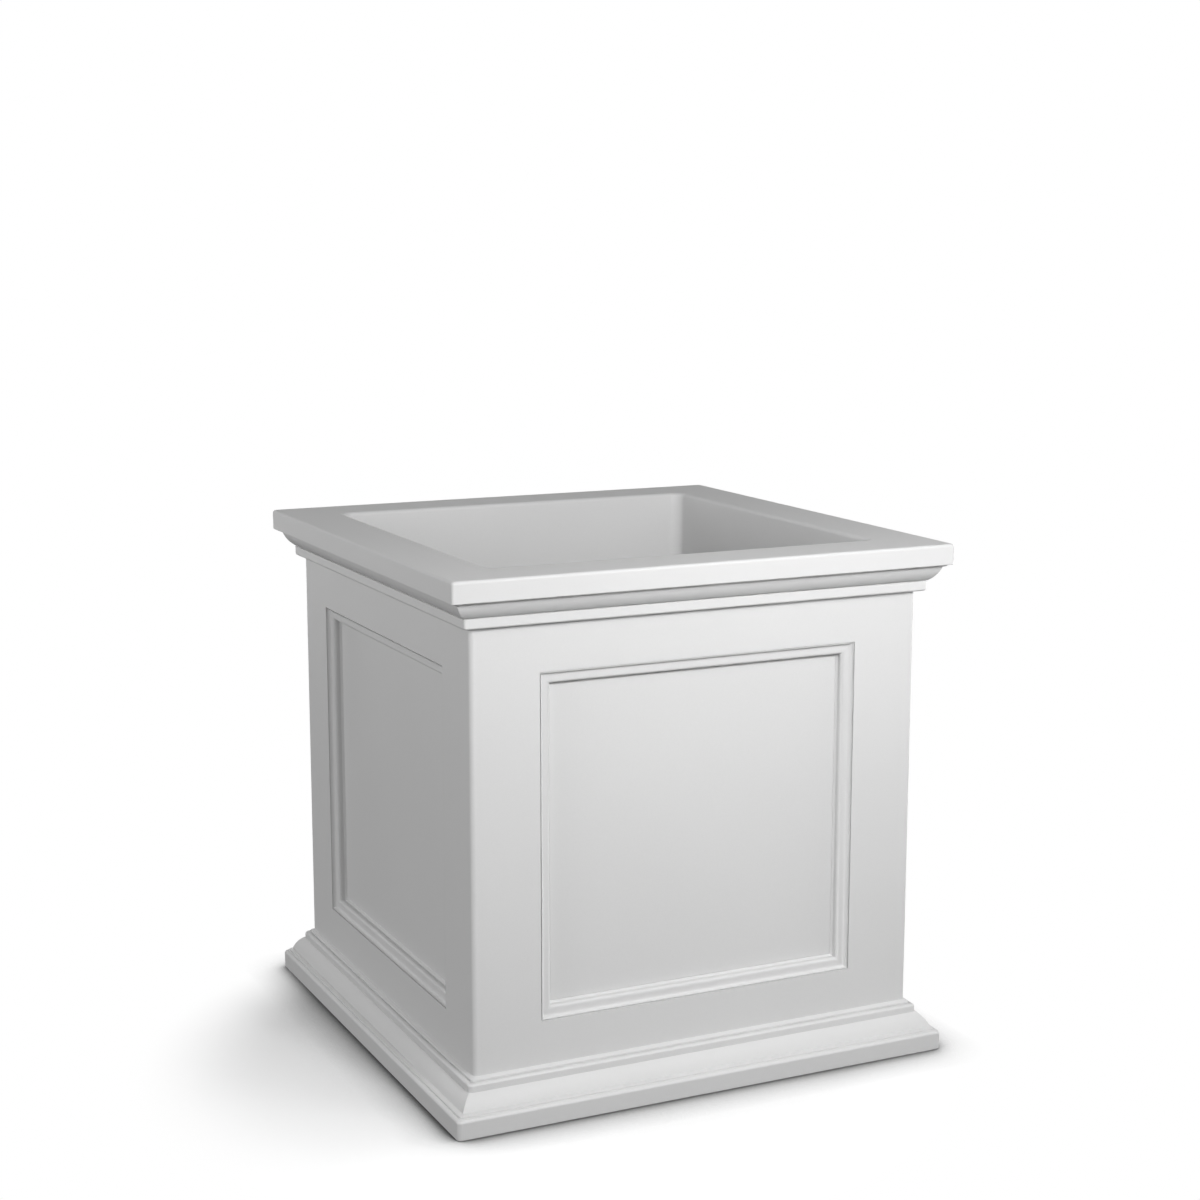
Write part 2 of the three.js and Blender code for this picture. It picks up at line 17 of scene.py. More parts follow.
import bmesh
import bpy
from bmesh.types import BMesh, BMVert
from mathutils import Matrix, Vector


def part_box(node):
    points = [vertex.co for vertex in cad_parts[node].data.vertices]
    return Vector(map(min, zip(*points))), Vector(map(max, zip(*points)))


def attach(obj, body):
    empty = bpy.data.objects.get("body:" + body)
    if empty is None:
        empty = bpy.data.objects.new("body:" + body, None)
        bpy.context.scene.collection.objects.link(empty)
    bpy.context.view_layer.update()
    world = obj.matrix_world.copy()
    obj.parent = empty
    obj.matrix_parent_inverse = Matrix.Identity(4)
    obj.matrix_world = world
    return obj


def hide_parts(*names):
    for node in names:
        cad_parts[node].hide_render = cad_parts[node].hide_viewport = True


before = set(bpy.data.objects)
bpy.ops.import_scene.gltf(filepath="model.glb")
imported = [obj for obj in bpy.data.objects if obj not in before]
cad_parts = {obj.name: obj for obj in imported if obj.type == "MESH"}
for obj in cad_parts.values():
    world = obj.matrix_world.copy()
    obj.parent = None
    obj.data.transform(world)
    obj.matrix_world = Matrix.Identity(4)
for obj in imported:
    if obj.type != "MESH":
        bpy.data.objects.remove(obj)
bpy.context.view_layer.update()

MM = 0.001
# Left under seated pieces, in millimetres, so that two faces never share a plane.
SEATED = 0.05
# Slack in millimetres where a rule picks vertices by their place.
NEAR = 0.1
# How far in millimetres a cutter reaches past the face that it opens.
PAST = 2.0
# Angles over which an edge shades sharp, and over which a bevel takes it.
SHARP_ANGLE = math.radians(32)
BEVEL_ANGLE = math.radians(40)
# Smaller radii than this, in millimetres, take fewer facets.
SMALL_RADIUS = 1.5
# Nearly all of a noise's values lie between these.
NOISE_SPAN = (0.3, 0.7)
WHITE = (1.0, 1.0, 1.0, 1.0)
# The planter's middle in metres, which the lights face.
MIDDLE = Vector((0.0, 0.0, 0.25))
log = logging.getLogger("planter")

Point = tuple[float, float]
Where = Callable[[float, float], bool]


class Body(Enum):
    """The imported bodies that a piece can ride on."""

    CASE = "case"
    TUB = "tub"
    PLATFORM = "platform"
    BUNG = "bung"


class Slot(Enum):
    """The record's material slots."""

    SHELL = "shell"
    INNER = "inner"
    HIDDEN = "hidden"
    SCREW = "screw"
    SEAL = "seal"


class Side(Enum):
    """The four walls, with the quarter turns that bring the front one there."""

    FRONT = 0
    RIGHT = 1
    BACK = 2
    LEFT = 3

    @property
    def label(self) -> str:
        """The side's name in the frame."""
        return self.name.lower()

    @property
    def turn(self) -> Matrix:
        """The rotation that brings a piece from the front to this side."""
        return Matrix.Rotation(self.value * math.pi / 2, 4, "Z")


class Corner(Enum):
    """The four corners, with the signs of x and y there."""

    FRONT_LEFT = (-1, -1)
    FRONT_RIGHT = (1, -1)
    BACK_RIGHT = (1, 1)
    BACK_LEFT = (-1, 1)

    @property
    def label(self) -> str:
        """The corner's name in the frame."""
        return self.name.lower()

    @property
    def turn(self) -> Matrix:
        """The rotation that brings a piece from the front left corner here."""
        return Matrix.Rotation(list(Corner).index(self) * math.pi / 2, 4, "Z")

    def at(self, out: float, up: float = 0.0) -> Vector:
        """The point this far out along both axes, at this level."""
        return Vector((self.value[0] * out, self.value[1] * out, up))


class Boolean(Enum):
    """What is done to a body with a tool's mesh."""

    CUT = "DIFFERENCE"
    JOIN = "UNION"


# Finishes.


@dataclass(frozen=True)
class Noise:
    """A noise pattern on the piece's own coordinates.

    Attributes:
        grain: Size of one grain in millimetres.
        detail: Octaves of finer noise.
        rough: How strong the finer octaves are.
        stretch: Scale along x, y and z, so that a small number draws the grain out.
    """

    grain: float
    detail: float = 2.0
    rough: float = 0.5
    stretch: tuple[float, float, float] = (1.0, 1.0, 1.0)


class Tree:
    """A material's or world's nodes, with short ways to add the ones that several share."""

    def __init__(
        self,
        owner: bpy.types.Material | bpy.types.World,
        output: str = "ShaderNodeOutputMaterial",
    ) -> None:
        """Clears the owner's tree and adds its output and coordinates."""
        owner.use_nodes = True
        self.nodes = owner.node_tree.nodes
        self.links = owner.node_tree.links
        self.nodes.clear()
        self.output = self.nodes.new(output)
        self.coordinates = self.nodes.new("ShaderNodeTexCoord")

    def add(self, kind: str, **settings: object) -> bpy.types.Node:
        """Adds a node and sets the attributes named in settings."""
        node = self.nodes.new(kind)
        for name, value in settings.items():
            setattr(node, name, value)
        return node

    def noise(self, pattern: Noise) -> bpy.types.NodeSocket:
        """Adds a noise texture and returns its factor."""
        texture = self.add("ShaderNodeTexNoise")
        texture.inputs["Scale"].default_value = 1 / (pattern.grain * MM)
        texture.inputs["Detail"].default_value = pattern.detail
        texture.inputs["Roughness"].default_value = pattern.rough
        mapping = self.add("ShaderNodeMapping")
        mapping.inputs["Scale"].default_value = pattern.stretch
        self.links.new(self.coordinates.outputs["Object"], mapping.inputs["Vector"])
        self.links.new(mapping.outputs["Vector"], texture.inputs["Vector"])
        return texture.outputs["Fac"]

    def ranged(self, value: bpy.types.NodeSocket, low: float, high: float) -> bpy.types.NodeSocket:
        """Maps the middle of a noise's span to low and high.

        Args:
            value: The noise's factor.
            low: Result where the noise is weak.
            high: Result where the noise is strong.

        Returns:
            The socket that carries the result.
        """
        node = self.add("ShaderNodeMapRange")
        node.inputs["From Min"].default_value, node.inputs["From Max"].default_value = NOISE_SPAN
        node.inputs["To Min"].default_value = low
        node.inputs["To Max"].default_value = high
        self.links.new(value, node.inputs["Value"])
        return node.outputs["Result"]

    def shaded(
        self, color: tuple[float, float, float], value: bpy.types.NodeSocket
    ) -> bpy.types.NodeSocket:
        """Multiplies a colour's brightness by a value and returns the colour's socket."""
        node = self.add("ShaderNodeHueSaturation")
        node.inputs["Color"].default_value = (*color, 1.0)
        self.links.new(value, node.inputs["Value"])
        return node.outputs["Color"]

    def multiplied(
        self, first: bpy.types.NodeSocket, second: bpy.types.NodeSocket
    ) -> bpy.types.NodeSocket:
        """Multiplies two values and returns the product's socket."""
        node = self.add("ShaderNodeMath", operation="MULTIPLY")
        self.links.new(first, node.inputs[0])
        self.links.new(second, node.inputs[1])
        return node.outputs[0]

    def mixed(
        self,
        share: bpy.types.NodeSocket,
        first: bpy.types.NodeSocket,
        second: bpy.types.NodeSocket,
    ) -> bpy.types.NodeSocket:
        """Mixes two shaders by the second one's share, and returns the mix's socket."""
        node = self.add("ShaderNodeMixShader")
        for source, place in zip((share, first, second), node.inputs):
            self.links.new(source, place)
        return node.outputs["Shader"]

    def bumped(
        self,
        height: bpy.types.NodeSocket,
        depth: float,
        under: bpy.types.NodeSocket | None = None,
    ) -> bpy.types.NodeSocket:
        """Adds a bump of this depth in millimetres over another, and returns its normal."""
        node = self.add("ShaderNodeBump")
        node.inputs["Strength"].default_value = 1.0
        node.inputs["Distance"].default_value = depth * MM
        self.links.new(height, node.inputs["Height"])
        if under is not None:
            self.links.new(under, node.inputs["Normal"])
        return node.outputs["Normal"]


@dataclass(frozen=True)
class Finish:
    """A surface finish with a colour that clouds slightly, a skin and a gloss.

    Attributes:
        name: The material's name.
        slot: The record's slot for this finish; the script reads it only to name the zinc pieces.
        color: Linear base colour.
        cloud: Slow change of brightness over the piece, and how far it goes.
        fleck: Fine change of brightness, as of pigment, and how far it goes.
        roughness: Lowest and highest roughness.
        skin: Bump layers from the coarsest, each a pattern and a depth in millimetres.
        metallic: One for metal.
        specular: The shader's specular level.
    """

    name: str
    slot: Slot
    color: tuple[float, float, float]
    cloud: tuple[Noise, float]
    fleck: tuple[Noise, float]
    roughness: tuple[float, float]
    skin: tuple[tuple[Noise, float], ...]
    metallic: float = 0.0
    specular: float = 0.5

    def material(self) -> bpy.types.Material:
        """Builds the material the first time and returns it."""
        found = bpy.data.materials.get(self.name)
        return found if found is not None else self._build()

    def _build(self) -> bpy.types.Material:
        """Builds the node tree: colour, gloss and skin into one shader."""
        material = bpy.data.materials.new(self.name)
        tree = Tree(material)
        shader = tree.add("ShaderNodeBsdfPrincipled")
        shader.inputs["Metallic"].default_value = self.metallic
        shader.inputs["Specular IOR Level"].default_value = self.specular
        clouds, cloud_reach = self.cloud
        flecks, fleck_reach = self.fleck
        slow = tree.ranged(tree.noise(clouds), 1 - cloud_reach, 1 + cloud_reach)
        fine_noise = tree.noise(flecks)
        fine = tree.ranged(fine_noise, 1 - fleck_reach, 1 + fleck_reach)
        tree.links.new(
            tree.shaded(self.color, tree.multiplied(slow, fine)), shader.inputs["Base Color"]
        )
        tree.links.new(tree.ranged(fine_noise, *self.roughness), shader.inputs["Roughness"])
        normal = None
        for pattern, depth in self.skin:
            normal = tree.bumped(tree.noise(pattern), depth, normal)
        if normal is not None:
            tree.links.new(normal, shader.inputs["Normal"])
        tree.links.new(shader.outputs["BSDF"], tree.output.inputs["Surface"])
        return material


MOULDED_GREY = Finish(
    name="moulded_grey_plastic",
    slot=Slot.SHELL,
    color=(0.62, 0.62, 0.62),
    cloud=(Noise(grain=160, detail=2), 0.008),
    fleck=(Noise(grain=1.1, detail=2, rough=0.6), 0.012),
    roughness=(0.46, 0.56),
    skin=((Noise(grain=9, detail=1), 0.04), (Noise(grain=1.3, detail=3, rough=0.6), 0.035)),
    specular=0.3,
)
INNER_GREY = Finish(
    name="inner_grey_plastic",
    slot=Slot.INNER,
    color=(0.27, 0.28, 0.27),
    cloud=(Noise(grain=70, detail=3), 0.02),
    fleck=(Noise(grain=0.9, detail=2), 0.02),
    roughness=(0.48, 0.62),
    skin=((Noise(grain=6, detail=2), 0.05), (Noise(grain=0.8, detail=2), 0.03)),
)
DARK_REGRIND = Finish(
    name="dark_regrind_plastic",
    slot=Slot.HIDDEN,
    color=(0.11, 0.115, 0.114),
    cloud=(Noise(grain=38, detail=4, rough=0.6, stretch=(1, 1, 0.35)), 0.12),
    fleck=(Noise(grain=0.7, detail=3, rough=0.7), 0.06),
    roughness=(0.5, 0.7),
    skin=((Noise(grain=7, detail=2), 0.07), (Noise(grain=0.9, detail=3), 0.04)),
)
ZINC = Finish(
    name="zinc_plated_steel",
    slot=Slot.SCREW,
    color=(0.60, 0.61, 0.63),
    cloud=(Noise(grain=3, detail=3), 0.06),
    fleck=(Noise(grain=0.35, detail=2), 0.04),
    roughness=(0.26, 0.42),
    skin=((Noise(grain=0.4, detail=3), 0.006),),
    metallic=1.0,
)
RUBBER = Finish(
    name="black_rubber",
    slot=Slot.SEAL,
    color=(0.022, 0.022, 0.023),
    cloud=(Noise(grain=12, detail=2), 0.1),
    fleck=(Noise(grain=0.4, detail=2), 0.15),
    roughness=(0.68, 0.86),
    skin=((Noise(grain=0.5, detail=3), 0.02),),
)


# Shapes, in millimetres.


def span(node: str) -> tuple[Vector, Vector]:
    """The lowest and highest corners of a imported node, in millimetres."""
    low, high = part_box(node)
    return low / MM, high / MM


class Profile:
    """A section line, drawn as a wire of [out, up] points with arcs and rounded corners."""

    def __init__(self, out: float, up: float) -> None:
        """Starts the line at a point."""
        self.wire = bmesh.new()
        self.tip = self.wire.verts.new((out, 0.0, up))
        self.start = self.tip
        self.rounds: dict[float, list[BMVert]] = {}

    def line(self, *points: tuple[float, ...]) -> Profile:
        """Adds straight runs.

        Args:
            points: Each an [out, up] point, or [out, up, radius] where the corner there is rounded.

        Returns:
            The profile, so that runs can follow each other.
        """
        for out, up, *radius in points:
            corner = self.wire.verts.new((out, 0.0, up))
            self.wire.edges.new((self.tip, corner))
            if radius:
                self.rounds.setdefault(radius[0], []).append(corner)
            self.tip = corner
        return self

    def arc(self, out: float, up: float, bulge: float, steps: int = 10) -> Profile:
        """Adds an arc to a point, standing off its chord to the right by the bulge."""
        end = Vector((out, 0.0, up))
        chord = end - self.tip.co
        right = Vector((chord.z, 0.0, -chord.x)).normalized()
        radius = (chord.length**2 / 4 + bulge**2) / (2 * bulge)
        centre = (self.tip.co + end) / 2 - right * (radius - bulge)
        angle = 2 * math.asin(chord.length / (2 * abs(radius)))
        self._spin(centre, angle, steps, end)
        return self

    def quarter(self, out: float, up: float, steps: int = 6) -> Profile:
        """Adds a quarter of an ellipse that leaves upright and arrives level."""
        start = self.tip.co.copy()
        end = Vector((out, 0.0, up))
        run = end.x - start.x
        made = self._spin(Vector((out, 0.0, start.z)), math.pi / 2, steps, None)
        squash = Matrix.Diagonal((1.0, 1.0, (end.z - start.z) / abs(run), 1.0))
        at_start = Matrix.Translation((0.0, 0.0, start.z))
        bmesh.ops.transform(self.wire, matrix=at_start @ squash @ at_start.inverted(), verts=made)
        return self

    def _spin(
        self, centre: Vector, angle: float, steps: int, end: Vector | None
    ) -> list[BMVert]:
        """Spins the tip about a centre, the way that brings it to the end or upwards."""
        old = set(self.wire.verts)
        start = self.tip.co - centre
        goal = (end - centre) if end is not None else Vector((0.0, 0.0, start.length))
        way = min(
            (1.0, -1.0), key=lambda w: (Matrix.Rotation(w * angle, 3, "Y") @ start - goal).length
        )
        made = bmesh.ops.spin(
            self.wire, geom=[self.tip], cent=centre, axis=(0, 1, 0), angle=way * angle, steps=steps
        )
        self.tip = made["geom_last"][0]
        if end is not None:
            self.tip.co = end
        return [vertex for vertex in self.wire.verts if vertex not in old]

    def close(self) -> Profile:
        """Joins the tip to the start."""
        self.wire.edges.new((self.tip, self.start))
        return self

    def rounded(self) -> BMesh:
        """Rounds the corners that carry a radius and returns the wire."""
        for radius, corners in self.rounds.items():
            bmesh.ops.bevel(
                self.wire, geom=corners, offset=radius, offset_type="OFFSET",
                segments=3 if radius < SMALL_RADIUS else 6, profile=0.5, affect="VERTICES",
                material=-1,
            )
        self.rounds = {}
        return self.wire

    def walk(self) -> list[Point]:
        """The rounded line's points from its start to its tip."""
        self.rounded()
        at, points, seen = self.start, [(self.start.co.x, self.start.co.z)], {self.start}
        while True:
            ahead = [v for e in at.link_edges if (v := e.other_vert(at)) not in seen]
            if not ahead:
                return points
            at = ahead[0]
            seen.add(at)
            points.append((at.co.x, at.co.z))

    def square_ring(self) -> BMesh:
        """Spins the line about Z in four steps, so that the ring's corners are mitred."""
        mesh = self.rounded()
        stretch = Matrix.Scale(math.sqrt(2), 4, (1, 0, 0))
        to_diagonal = Matrix.Rotation(math.radians(-135), 4, "Z") @ stretch
        bmesh.ops.transform(mesh, matrix=to_diagonal, verts=mesh.verts)
        return spun(mesh, 4)

    def turned(self, steps: int = 64) -> BMesh:
        """Spins the line about Z into a round body."""
        return spun(self.rounded(), steps)

    def prism(self, low: float, high: float) -> BMesh:
        """Takes the closed line as a plan and raises it from one level to another."""
        mesh = self.rounded()
        bmesh.ops.rotate(mesh, matrix=Matrix.Rotation(math.radians(-90), 3, "X"), verts=mesh.verts)
        bmesh.ops.translate(mesh, vec=(0.0, 0.0, low), verts=mesh.verts)
        bmesh.ops.contextual_create(mesh, geom=list(mesh.verts) + list(mesh.edges))
        raised = bmesh.ops.extrude_face_region(mesh, geom=list(mesh.faces))
        top = [item for item in raised["geom"] if isinstance(item, BMVert)]
        bmesh.ops.translate(mesh, vec=(0.0, 0.0, high - low), verts=top)
        bmesh.ops.recalc_face_normals(mesh, faces=mesh.faces)
        return mesh


def spun(mesh: BMesh, steps: int) -> BMesh:
    """Spins a wire all the way round Z, closes it and turns its faces out."""
    bmesh.ops.spin(
        mesh, geom=list(mesh.verts) + list(mesh.edges), cent=(0, 0, 0), axis=(0, 0, 1),
        angle=2 * math.pi, steps=steps, use_merge=True,
    )
    bmesh.ops.remove_doubles(mesh, verts=mesh.verts, dist=1e-4)
    bmesh.ops.recalc_face_normals(mesh, faces=mesh.faces)
    return mesh


def round_corners(mesh: BMesh, radius: float, where: Where, segments: int = 8) -> None:
    """Rounds the upright corners of a mitred ring.

    Args:
        mesh: The ring.
        radius: The corner's radius.
        where: Says of an [out, up] point whether its corner is rounded.
        segments: Facets of a corner.
    """

    def chosen(vertex: BMVert) -> bool:
        """Whether a vertex lies on a mitre that is rounded."""
        out = abs(vertex.co.x)
        return abs(out - abs(vertex.co.y)) < 1e-3 and where(out, vertex.co.z)

    corners = [
        edge for edge in mesh.edges
        if all(chosen(vertex) for vertex in edge.verts)
        and (edge.verts[0].co.xy - edge.verts[1].co.xy).length < 40
        and abs(edge.verts[0].co.z - edge.verts[1].co.z) > 1e-4
    ]
    bmesh.ops.bevel(
        mesh, geom=corners, offset=radius, offset_type="ABSOLUTE", segments=segments,
        profile=0.5, affect="EDGES", material=-1, loop_slide=True, clamp_overlap=False,
    )


def block(low: Sequence[float], high: Sequence[float], upright: float = 0.0) -> BMesh:
    """A box between two corners, with its upright edges rounded by a radius."""
    mesh = bmesh.new()
    bmesh.ops.create_cube(mesh, size=1.0)
    size = Vector(high) - Vector(low)
    bmesh.ops.scale(mesh, vec=size, verts=mesh.verts)
    bmesh.ops.translate(mesh, vec=(Vector(high) + Vector(low)) / 2, verts=mesh.verts)
    if upright:
        edges = [e for e in mesh.edges if abs(e.verts[0].co.z - e.verts[1].co.z) > size.z / 2]
        bmesh.ops.bevel(
            mesh, geom=edges, offset=upright, offset_type="OFFSET", segments=6,
            profile=0.5, affect="EDGES", material=-1,
        )
    return mesh


def drill(radius: float, low: float, high: float, flare: float = 0.5, steps: int = 32) -> BMesh:
    """A cutter for a hole through a plate, which widens at both faces to soften their edges.

    Args:
        radius: The hole's radius.
        low: The plate's lower face.
        high: The plate's upper face.
        flare: Size of the chamfer at each face.
        steps: Facets of the hole.

    Returns:
        The cutter's mesh about Z.
    """
    wide = radius + flare
    line = Profile(0.0, low - PAST).line(
        (wide, low - PAST), (wide, low), (radius, low + flare), (radius, high - flare),
        (wide, high), (wide, high + PAST), (0.0, high + PAST),
    )
    return line.turned(steps)


def moved(mesh: BMesh, matrix: Matrix) -> BMesh:
    """A copy of a mesh, moved by a matrix."""
    copy = mesh.copy()
    bmesh.ops.transform(copy, matrix=matrix, verts=copy.verts)
    return copy


def joined(meshes: Iterable[BMesh]) -> BMesh:
    """One mesh that holds several, side by side."""
    whole = bmesh.new()
    for mesh in meshes:
        data = bpy.data.meshes.new("scrap")
        mesh.to_mesh(data)
        whole.from_mesh(data)
        bpy.data.meshes.remove(data)
    return whole


def carved(body: BMesh, tool: BMesh, way: Boolean = Boolean.CUT) -> BMesh:
    """Cuts a tool out of a body or joins it on.

    Args:
        body: The mesh that is worked.
        tool: The closed mesh that it is worked with.
        way: Whether the tool cuts or joins.

    Returns:
        The worked mesh.
    """
    scraps = []
    for mesh in (body, tool):
        data = bpy.data.meshes.new("scrap")
        mesh.to_mesh(data)
        scraps.append(bpy.data.objects.new("scrap", data))
        bpy.context.scene.collection.objects.link(scraps[-1])
    work = scraps[0].modifiers.new("work", "BOOLEAN")
    work.operation = way.value
    work.solver = "EXACT"
    work.object = scraps[1]
    bpy.context.view_layer.update()
    result = scraps[0].evaluated_get(bpy.context.evaluated_depsgraph_get())
    worked = bmesh.new()
    worked.from_mesh(result.to_mesh())
    result.to_mesh_clear()
    for scrap in scraps:
        data = scrap.data
        bpy.data.objects.remove(scrap)
        bpy.data.meshes.remove(data)
    return worked


@dataclass
class Piece:
    """A piece ready to be placed.

    Attributes:
        node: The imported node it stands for.
        body: The body it rides on.
        finish: Its surface.
        shape: Its mesh in millimetres.
        edge: Radius of a bevel on the edges that its mesh leaves sharp, or zero.
    """

    node: str
    body: Body
    finish: Finish
    shape: BMesh
    edge: float = 0.0

    def place(self) -> bpy.types.Object:
        """Makes the object, dresses it, and hangs it on its body in place of its node."""
        name = f"{self.node}.{'zinc' if self.finish.slot is Slot.SCREW else 'moulding'}"
        data = bpy.data.meshes.new(name)
        shape = self.shape.copy()
        bmesh.ops.scale(shape, vec=(MM, MM, MM), verts=shape.verts)
        shape.to_mesh(data)
        shape.free()
        data.shade_smooth()
        data.set_sharp_from_angle(angle=SHARP_ANGLE)
        data.materials.append(self.finish.material())
        piece = bpy.data.objects.new(name, data)
        bpy.context.scene.collection.objects.link(piece)
        if self.edge:
            bevel = piece.modifiers.new("edges", "BEVEL")
            bevel.width = self.edge * MM
            bevel.segments = 2
            bevel.limit_method = "ANGLE"
            bevel.angle_limit = BEVEL_ANGLE
        even = piece.modifiers.new("even_shading", "WEIGHTED_NORMAL")
        even.keep_sharp = True
        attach(piece, self.body.value)
        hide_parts(self.node)
        log.info("%s: %d faces, rides on %s", name, len(data.polygons), self.body.value)
        return piece


# Sub-assemblies.


@dataclass
class Shell:
    """Levels and widths that the mouldings share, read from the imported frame.

    Attributes:
        corner: Radius of the walls' and the plinth's vertical corners.
        crisp_corner: Radius of the rim's and the cornice's vertical corners.
        ovolo_bulge: How far the plinth's ovolo stands off its chord.
        ovolo_rise: Height of an ovolo.
        ovolo_inset: Rim's or plinth's face to the ovolo's wide edge.
        strip_inset: How far the narrow strips stand back from the faces beside them.
        band_proud: How far the bands stand out from the walls.
        quirk: Step between a band and the ovolo's narrow edge.
        skirt: Thickness of the frames' hidden skirts.
        seam: Gap between a skirt and the walls.
    """

    corner: float = 4.5
    crisp_corner: float = 2.4
    ovolo_bulge: float = 1.25
    ovolo_rise: float = 13.5
    ovolo_inset: float = 8.0
    strip_inset: float = 4.0
    band_proud: float = 8.0
    quirk: float = 0.3
    skirt: float = 3.2
    seam: float = 0.05

    @cached_property
    def out(self) -> float:
        """Half the side over the rim and the plinth."""
        return span("plinth_frame")[1].x

    @cached_property
    def wall(self) -> float:
        """Middle to the walls' faces."""
        return -span("side_panel_front")[0].y

    @cached_property
    def wall_back(self) -> float:
        """Middle to the walls' backs."""
        return -span("side_panel_front")[1].y

    @cached_property
    def case_levels(self) -> tuple[float, float]:
        """The foot and top of the walls."""
        low, high = span("side_panel_front")
        return low.z, high.z

    @property
    def skirt_in(self) -> float:
        """Middle to the frames' skirts, just clear of the walls."""
        return self.wall + self.seam

    @property
    def skirt_out(self) -> float:
        """Middle to the outside of the frames' hidden skirts."""
        return self.skirt_in + self.skirt

    @property
    def band(self) -> float:
        """Middle to the bands beside the ovolos."""
        return self.wall + self.band_proud


@dataclass
class Tub:
    """The lift-out tub, whose turned-down rim is the slab on top.

    Attributes:
        wall: Wall thickness.
        rim_drop: Visible height of the rim's face.
        rim_width: Rim face to the opening.
        rim_round: Radius of the rim's outer edge.
        opening_round: Radius of the opening's edge.
        neck_round: Radius where the wall meets the rim's underside.
        floor_round: Radius where the wall meets the floor inside.
        draft: Taper of the walls in degrees.
        inner_corner: Radius of the upright corners inside.
        walls_from: Nearer the middle than this no wall stands.
    """

    shell: Shell
    wall: float = 3.5
    rim_drop: float = 20.0
    rim_width: float = 56.5
    rim_round: float = 3.0
    opening_round: float = 4.0
    neck_round: float = 2.0
    floor_round: float = 5.0
    draft: float = 2.0
    inner_corner: float = 12.0
    walls_from: float = 150.0
    overflow_radius: float = 5.0
    overflow_level: float = 70.8
    drain_radius: float = 9.0

    def inside(self, up: float) -> float:
        """Half the tub's width inside at a level."""
        top = self.levels[1] - self.opening_round
        return self.shell.out - self.rim_width - (top - up) * math.tan(math.radians(self.draft))

    @cached_property
    def levels(self) -> tuple[float, float]:
        """The tub's underside and the rim's top."""
        low, high = span("planting_tub")
        return low.z, high.z

    def shape(self) -> BMesh:
        """Spins the tub's section, rounds its corners and drills it."""
        bottom, top = self.levels
        floor, under = bottom + self.wall, top - self.wall
        out, opening = self.shell.out, self.shell.out - self.rim_width
        lip = top - self.rim_drop
        section = Profile(0.0, bottom).line(
            (self.inside(bottom) + self.wall, bottom, 3.0),
            (self.inside(under) + self.wall, under, self.neck_round),
            (out - self.wall, under, 0.6),
            (out - self.wall, lip, 0.5),
            (out, lip, 0.8),
            (out, top, self.rim_round),
            (opening, top, self.opening_round),
            (self.inside(floor), floor, self.floor_round),
            (0.0, floor),
        )
        mesh = section.square_ring()
        middle = self.wall / 2

        def wall_outside(u: float, z: float) -> bool:
            """Whether a point is on the wall's outer face, up to the rim's underside."""
            off = u - self.inside(z)
            past = self.wall + self.neck_round + NEAR
            return middle < off < past and z < under + NEAR and u > self.walls_from

        def wall_inside(u: float, z: float) -> bool:
            """Whether a point is on the wall's inner face, from the floor to the opening."""
            off = u - self.inside(min(z, top - self.opening_round))
            past = middle + self.opening_round - NEAR
            behind = z < under + NEAR and u - self.inside(z) > middle
            within = -self.floor_round - 2 * NEAR < off < past and z > floor - NEAR
            return within and not behind and u > self.walls_from

        round_corners(
            mesh, self.shell.crisp_corner,
            lambda u, z: u > out - self.rim_round - NEAR and z > lip - NEAR,
        )
        round_corners(mesh, self.inner_corner + self.wall, wall_outside)
        round_corners(mesh, self.inner_corner, wall_inside, segments=10)
        level = Matrix.Translation((0.0, 0.0, self.overflow_level))
        overflow = moved(
            drill(self.overflow_radius, -out, out, flare=0.0, steps=24),
            level @ Matrix.Rotation(math.pi / 2, 4, "Y"),
        )
        holes = joined([drill(self.drain_radius, bottom, floor, steps=48), overflow])
        return carved(mesh, holes)

    def build(self) -> list[Piece]:
        """The tub's one piece."""
        return [Piece("planting_tub", Body.TUB, MOULDED_GREY, self.shape())]


